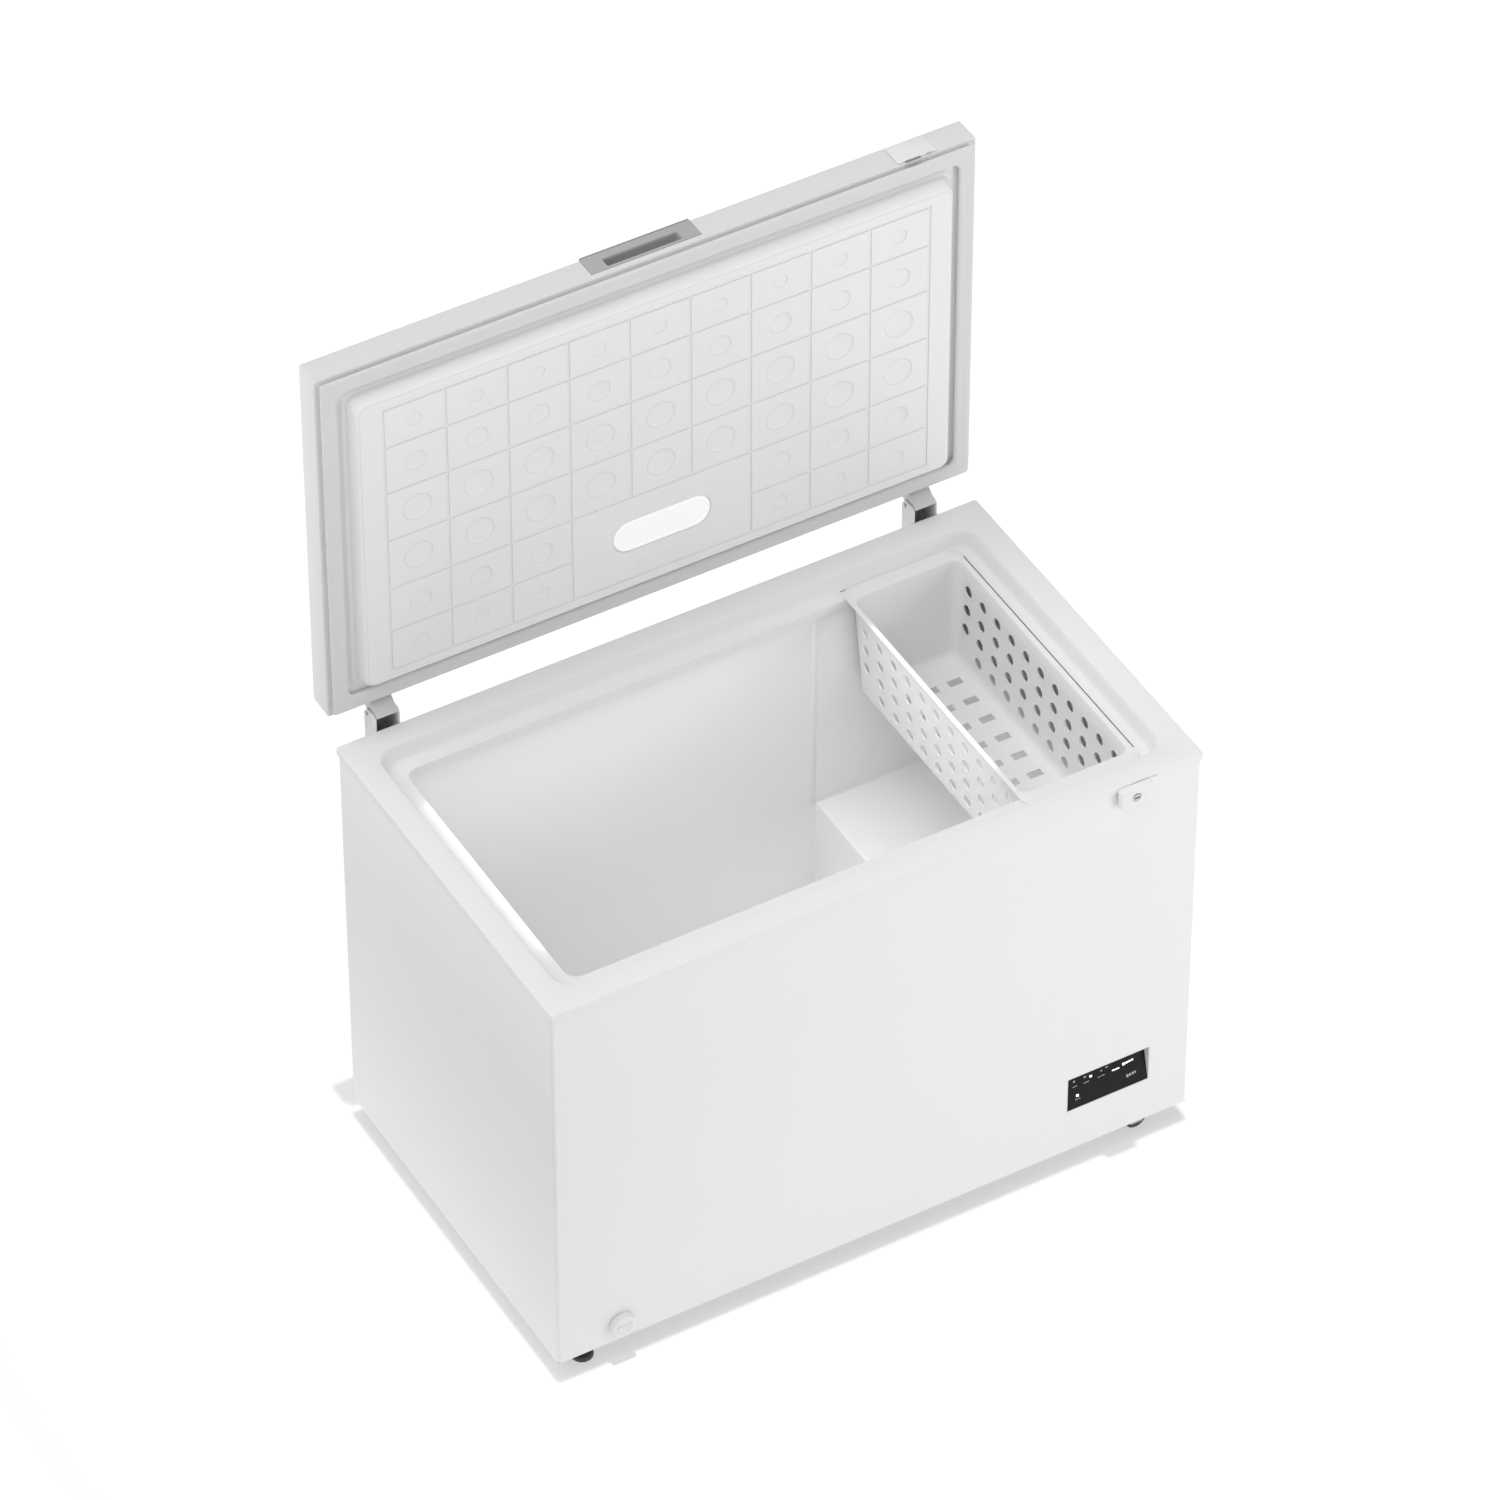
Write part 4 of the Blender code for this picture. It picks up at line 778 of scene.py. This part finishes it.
def paint_shade_on_groove_walls(panel, face):
    """Gives the slanted walls of the grooves and dimples their own, slightly greyer finish, which paints
    shade into these recesses.
    """
    panel.data.materials.append(MATERIALS["lid_groove_painted_shade"])
    # Faces sunk below the field's face take the greyer finish: painted shade in the grooves and dimples
    for polygon in panel.data.polygons:
        depth = polygon.center.y - face
        if 0.0001 < depth < GROOVE_DEPTH + 0.0002 and polygon.normal.y > -0.95:
            polygon.material_index = 1


def make_lid_plate(face, plate_x, plate_z):
    """The small plate under the lamp: a raised frame round a ring and four plain bars."""
    plate = stack([(0.0360, 0.0072, 0.002, face + 0.0002), (0.0357, 0.0069, 0.002, face - 0.0006),
                   (0.0350, 0.0062, 0.0015, face - 0.0006), (0.0345, 0.0057, 0.0012, face + 0.0002)],
                  (plate_x, plate_z), upright=True, steps=3, ring=True)
    ring = turned([(0.0042, 0.0002), (0.0040, -0.0005), (0.0030, -0.0005), (0.0028, 0.0002)],
                  (plate_x - 0.0275, face, plate_z), "Y", 20, ring=True)
    bars = []
    for k in range(4):
        shift = k * 0.013
        bars.append(slab((plate_x - 0.018 + shift, face - 0.0005, plate_z - 0.0022),
                         (plate_x - 0.008 + shift, face + 0.0002, plate_z + 0.0022), 0.0002, 1))
    fit_piece(merge([plate, ring, *bars]), "lid_label_frame", "lid", (), "lid_moulding")


def make_lid_shell():
    """The lid's painted cover, with its edge folded in and a notch for the handle."""
    low, high, middle = corners("lid_skin")
    half_x, half_z = high.x, (high.z - low.z) / 2
    edge_radius = 0.0042

    def at(inset, y, radius=0.004):
        return half_x - inset, half_z - inset, max(radius - inset, SHEET), y

    loops = [at(0.0060, high.y - SHEET), at(0.0022, high.y - 0.0014), at(SHEET, high.y - edge_radius),
             at(SHEET, low.y + 0.0016), at(0.0014, low.y + SHEET), at(0.0045, low.y + SHEET),
             at(0.0048, low.y + SHEET / 2), at(0.0045, low.y), at(0.0014, low.y),
             at(0.0004, low.y + 0.0004), at(0, low.y + 0.0014)]
    loops += [at(inset, high.y - drop, 0.0055) for inset, drop in quarter_round(edge_radius)]
    shell = stack(loops, (0, middle.z), upright=True, steps=6)
    a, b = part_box("lid_handle")
    notch = slab((a.x - FIT_GAP, a.y - FIT_GAP, a.z - FIT_GAP), (b.x + FIT_GAP, b.y + 0.02, b.z + 0.02))
    cut(shell, notch)
    fit_piece(shell, "lid_shell", "lid", ("lid_skin",), "lid_enamel")


def make_gasket():
    """The magnetic seal: a wide soft bulb with a shallow groove along it, joined at its corners."""
    low, high, middle = corners("lid_gasket")
    half_x, half_z = high.x, (high.z - low.z) / 2
    section = [(0.0048, 0.0113), (0.0048, 0.0070), (0.0008, 0.0058), (0, 0.0040), (0.0004, 0.0018),
               (0.0018, 0.0004), (0.0050, 0), (0.0125, 0.0005), (0.0140, 0.0008), (0.0155, 0.0005),
               (0.0215, 0), (0.0248, 0.0005), (0.0261, 0.0018), (0.0265, 0.0040), (0.0257, 0.0058),
               (0.0225, 0.0070), (0.0225, 0.0113)]
    loops = [(half_x - inset, half_z - inset, 0.004 + inset * 0.35, low.y + rise)
             for inset, rise in section]
    seal = stack(loops, (0, middle.z), upright=True, steps=6, ring=True)
    fit_piece(seal, "door_seal", "lid", ("lid_gasket",), "gasket_grey", angle=50)


def make_lamp():
    """The lamp's lens: a raised rounded border round a shallow dished window."""
    low, high, middle = corners("lamp_lens")
    half_x, half_z, y = high.x, (high.z - low.z) / 2, low.y
    path = [(0, 0.0040), (0, 0.0012), (0.0005, 0.0004), (0.0016, 0), (0.0042, 0), (0.0052, 0.0005),
            (0.0058, 0.0010), (0.0120, 0.0006), (0.0200, 0.0004)]
    loops = [(half_x - inset, half_z - inset, half_z - inset - 0.0001, y + rise) for inset, rise in path]
    lens = stack(loops, (middle.x, middle.z), upright=True, steps=12)
    fit_piece(lens, "lamp_window", "lid", ("lamp_lens",), "lamp_lens", angle=40)


def make_handle():
    """The grip let into the lid's front edge: a rounded bar with a finger pocket and a raised lip."""
    low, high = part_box("lid_handle")
    body = slab(low, (high.x, high.y - 0.0003, high.z))
    soften(body, 0.0014, 3, 60)
    x, y, edge, depth = 0.06275, 0.00875, 0.005, 0.022
    pocket = stack([(x - 0.002, 0.0068, 0.002, high.z - depth), (x - 0.0004, 0.0084, 0.003, high.z - 0.004),
                    (x, y, 0.003, high.z - 0.0010), (x + 0.0012, 0.0099, 0.0038, high.z + 0.0004)],
                   (0, low.y + edge + y), steps=5)
    cut(body, pocket)
    fit_piece(body, "grip", "lid", ("lid_handle",), "silver_plastic", angle=40)
    lip = slab((low.x + 0.0008, high.y - 0.0034, high.z - 0.0020),
               (high.x - 0.0008, high.y, high.z + 0.0004), 0.0011, 3)
    fit_piece(lip, "grip_lip", "lid", (), "handle_dark")


def make_control_marks():
    """Small plain marks and lights on the control panel. They carry no lettering."""
    low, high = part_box("control_fascia")
    rise, run, lean, half_thick = high.z - low.z, 0.017, 13.9, 0.00025
    slant = Vector((0, run, rise)).normalized()
    out = Vector((0, -rise, run)).normalized()

    def mark(across, drop, length, tall):
        centre = Vector((low.x + across, low.y, low.z)) + slant * (rise / slant.z - drop)
        piece = slab((-length / 2, -half_thick, -tall / 2), (length / 2, half_thick, tall / 2),
                     half_thick * 0.7, 1)
        piece.rotation_euler = (-radians(lean), 0, 0)
        piece.location = centre + out * 0.0001
        pick(piece)
        bpy.ops.object.transform_apply(location=True, rotation=True, scale=True)
        return piece

    # Each is across, down, length and height, in millimetres
    print_marks = [(18, 22.5, 3.2, 3.2), (37.5, 22, 3.6, 3.0), (67, 23, 2.6, 2.6), (77, 20.5, 5.0, 1.8),
                   (16, 32, 3, 1.6), (20, 31.5, 4, 1.6), (36.5, 32.5, 4, 1.6), (41.5, 32, 5, 1.6),
                   (62, 32.5, 5, 1.4), (69, 32, 6, 1.4), (111, 51, 4, 5.0), (116, 50.5, 3.4, 4.6),
                   (121, 50, 3.4, 4.6), (125, 49.5, 2.4, 4.0), (18.5, 55.5, 4, 1.5), (23.5, 55, 3.5, 1.5)]
    lit_marks = [(47.8, 25, 4.4, 3.8), (92, 31, 13, 2.0), (21, 49, 4.6, 4.4), (107, 27.5, 5, 4.2),
                 (113, 27, 4.5, 3.2), (118, 26.5, 4, 2.8), (122.5, 26, 3, 3.0)]
    for name, finish, marks in (("panel_marks", "panel_print", print_marks),
                                ("panel_lights", "panel_light", lit_marks)):
        pieces = [mark(*(value / 1000 for value in row)) for row in marks]
        fit_piece(merge(pieces), name, "cabinet", (), finish)


def make_lock():
    """The keeper on the cabinet, tucked under the rim's lip, with a bore for its round lock."""
    low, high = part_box("lock_keeper")
    body = slab(low, high)
    edit(body)
    choose(body, "EDGE", lambda e: abs(e.verts[0].co.y - e.verts[1].co.y) > 0.005)
    bpy.ops.mesh.bevel(offset=0.0045, offset_type="OFFSET", segments=4, affect="EDGES")
    soften(body, 0.0025, 4, 60)
    lock, bore_radius, lip_rise = corners("lock_cylinder")[2], 0.0081, 0.0327
    bore = turned([(bore_radius, -0.02), (bore_radius, 0.009)], (lock.x, low.y, lock.z), "Y", 32)
    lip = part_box("top_collar")[0]
    overhang = slab((low.x - 0.01, lip.y - FIT_GAP, lip.z + lip_rise), (high.x + 0.01, 0, high.z + 0.01))
    cut(body, overhang, bore)
    fit_piece(body, "lock_keeper_cover", "cabinet", ("lock_keeper",), "white_plastic")


# Name, place, aim, size and power of each soft light
SOFTBOXES = (
    ("right_softbox", (2.8, -3.2, 1.8), (0.4, -0.3, 0.4), (1.6, 1.6), 35.0),
    ("left_softbox", (-3.4, -0.8, 3.0), (-0.5, 0.1, 0.7), (1.5, 1.5), 2.0),
    ("tub_fill", (-0.1, -0.03, 0.765), (-0.1, -0.03, 0.1), (0.78, 0.36), 0.66),
)
FLOOR_SIZE = 60
FLOOR_GLOW = 0.50
ROOM_LIGHT = 0.44


def put_light(lamp, place, aim):
    obj = bpy.data.objects.new(lamp.name, lamp)
    obj.location = place
    obj.rotation_euler = (Vector(aim) - Vector(place)).to_track_quat("-Z", "Y").to_euler()
    obj.visible_camera = obj.visible_glossy = False
    bpy.context.scene.collection.objects.link(obj)
    return obj


def put_sun(name, place, power, spread):
    """A distant light that aims at the origin, as soft as its spread in degrees."""
    sun = bpy.data.lights.new(name, "SUN")
    sun.energy, sun.angle = power, radians(spread)
    return put_light(sun, place, (0, 0, 0))


def put_studio_plane(name, finish, **place):
    """A flat sheet of the studio, which isn't part of the object."""
    rest()
    bpy.ops.mesh.primitive_plane_add(**place)
    plane = bpy.context.object
    plane.name = plane.data.name = name
    finish.vary_roughness(0.85 + finish.noise(3) * 0.1)
    plane.data.materials.append(finish.material)
    return plane


def make_stage():
    """A pale floor, a dark card that shades the cabinet's left side, and soft light all round."""
    white = Finish("floor_white", grey(0.30), 0.9).glow(grey(1.0), FLOOR_GLOW)
    floor = put_studio_plane("floor", white, size=FLOOR_SIZE, location=(0, 0, -0.0002))
    card = put_studio_plane("dark_card", Finish("card_black", grey(0.04), 0.9), size=1,
                            location=(-1.3, 0, 0.27), rotation=(0, radians(90), 0))
    card.scale = (0.54, 2.2, 1)
    card.visible_camera = card.visible_glossy = card.visible_shadow = False
    world = bpy.data.worlds.new("studio")
    bpy.context.scene.world = world
    world.use_nodes = True
    backdrop = world.node_tree.nodes["Background"]
    backdrop.inputs["Color"].default_value = (1, 1, 1, 1)
    backdrop.inputs["Strength"].default_value = ROOM_LIGHT
    for name, place, aim, size, power in SOFTBOXES:
        lamp = bpy.data.lights.new(name, "AREA")
        lamp.shape = "RECTANGLE"
        lamp.size, lamp.size_y = size
        lamp.energy = power
        put_light(lamp, place, aim)
    put_sun("overhead", (-1.5, 0, 4), 1.7, 60)
    key = put_sun("floor_key", (0, 0, 4), 3.5, 0.8)
    only_floor = bpy.data.collections.new("floor_only")
    only_floor.objects.link(floor)
    key.light_linking.receiver_collection = only_floor


def make_camera():
    """A long lens, high at the front left corner."""
    data = bpy.data.cameras.new("camera")
    data.lens, data.sensor_width = 216.32, 36.0
    data.clip_end = 100.0
    camera = bpy.data.objects.new("camera", data)
    camera.location = (-4.9427, -8.51895, 9.995)
    camera.rotation_euler = (radians(46.8305), 0, radians(-30.037))
    bpy.context.scene.collection.objects.link(camera)
    bpy.context.scene.camera = camera
    bpy.context.scene.view_settings.view_transform = "Standard"


dress_packed_parts()
make_outer_wrap()
make_rim()
make_tub()
make_basket()
make_lid_shell()
make_lid_moulding()
make_gasket()
make_lamp()
make_handle()
make_control_marks()
make_lock()
make_hinges()
make_lid_lock()
make_drain_cap()
make_stage()
make_camera()
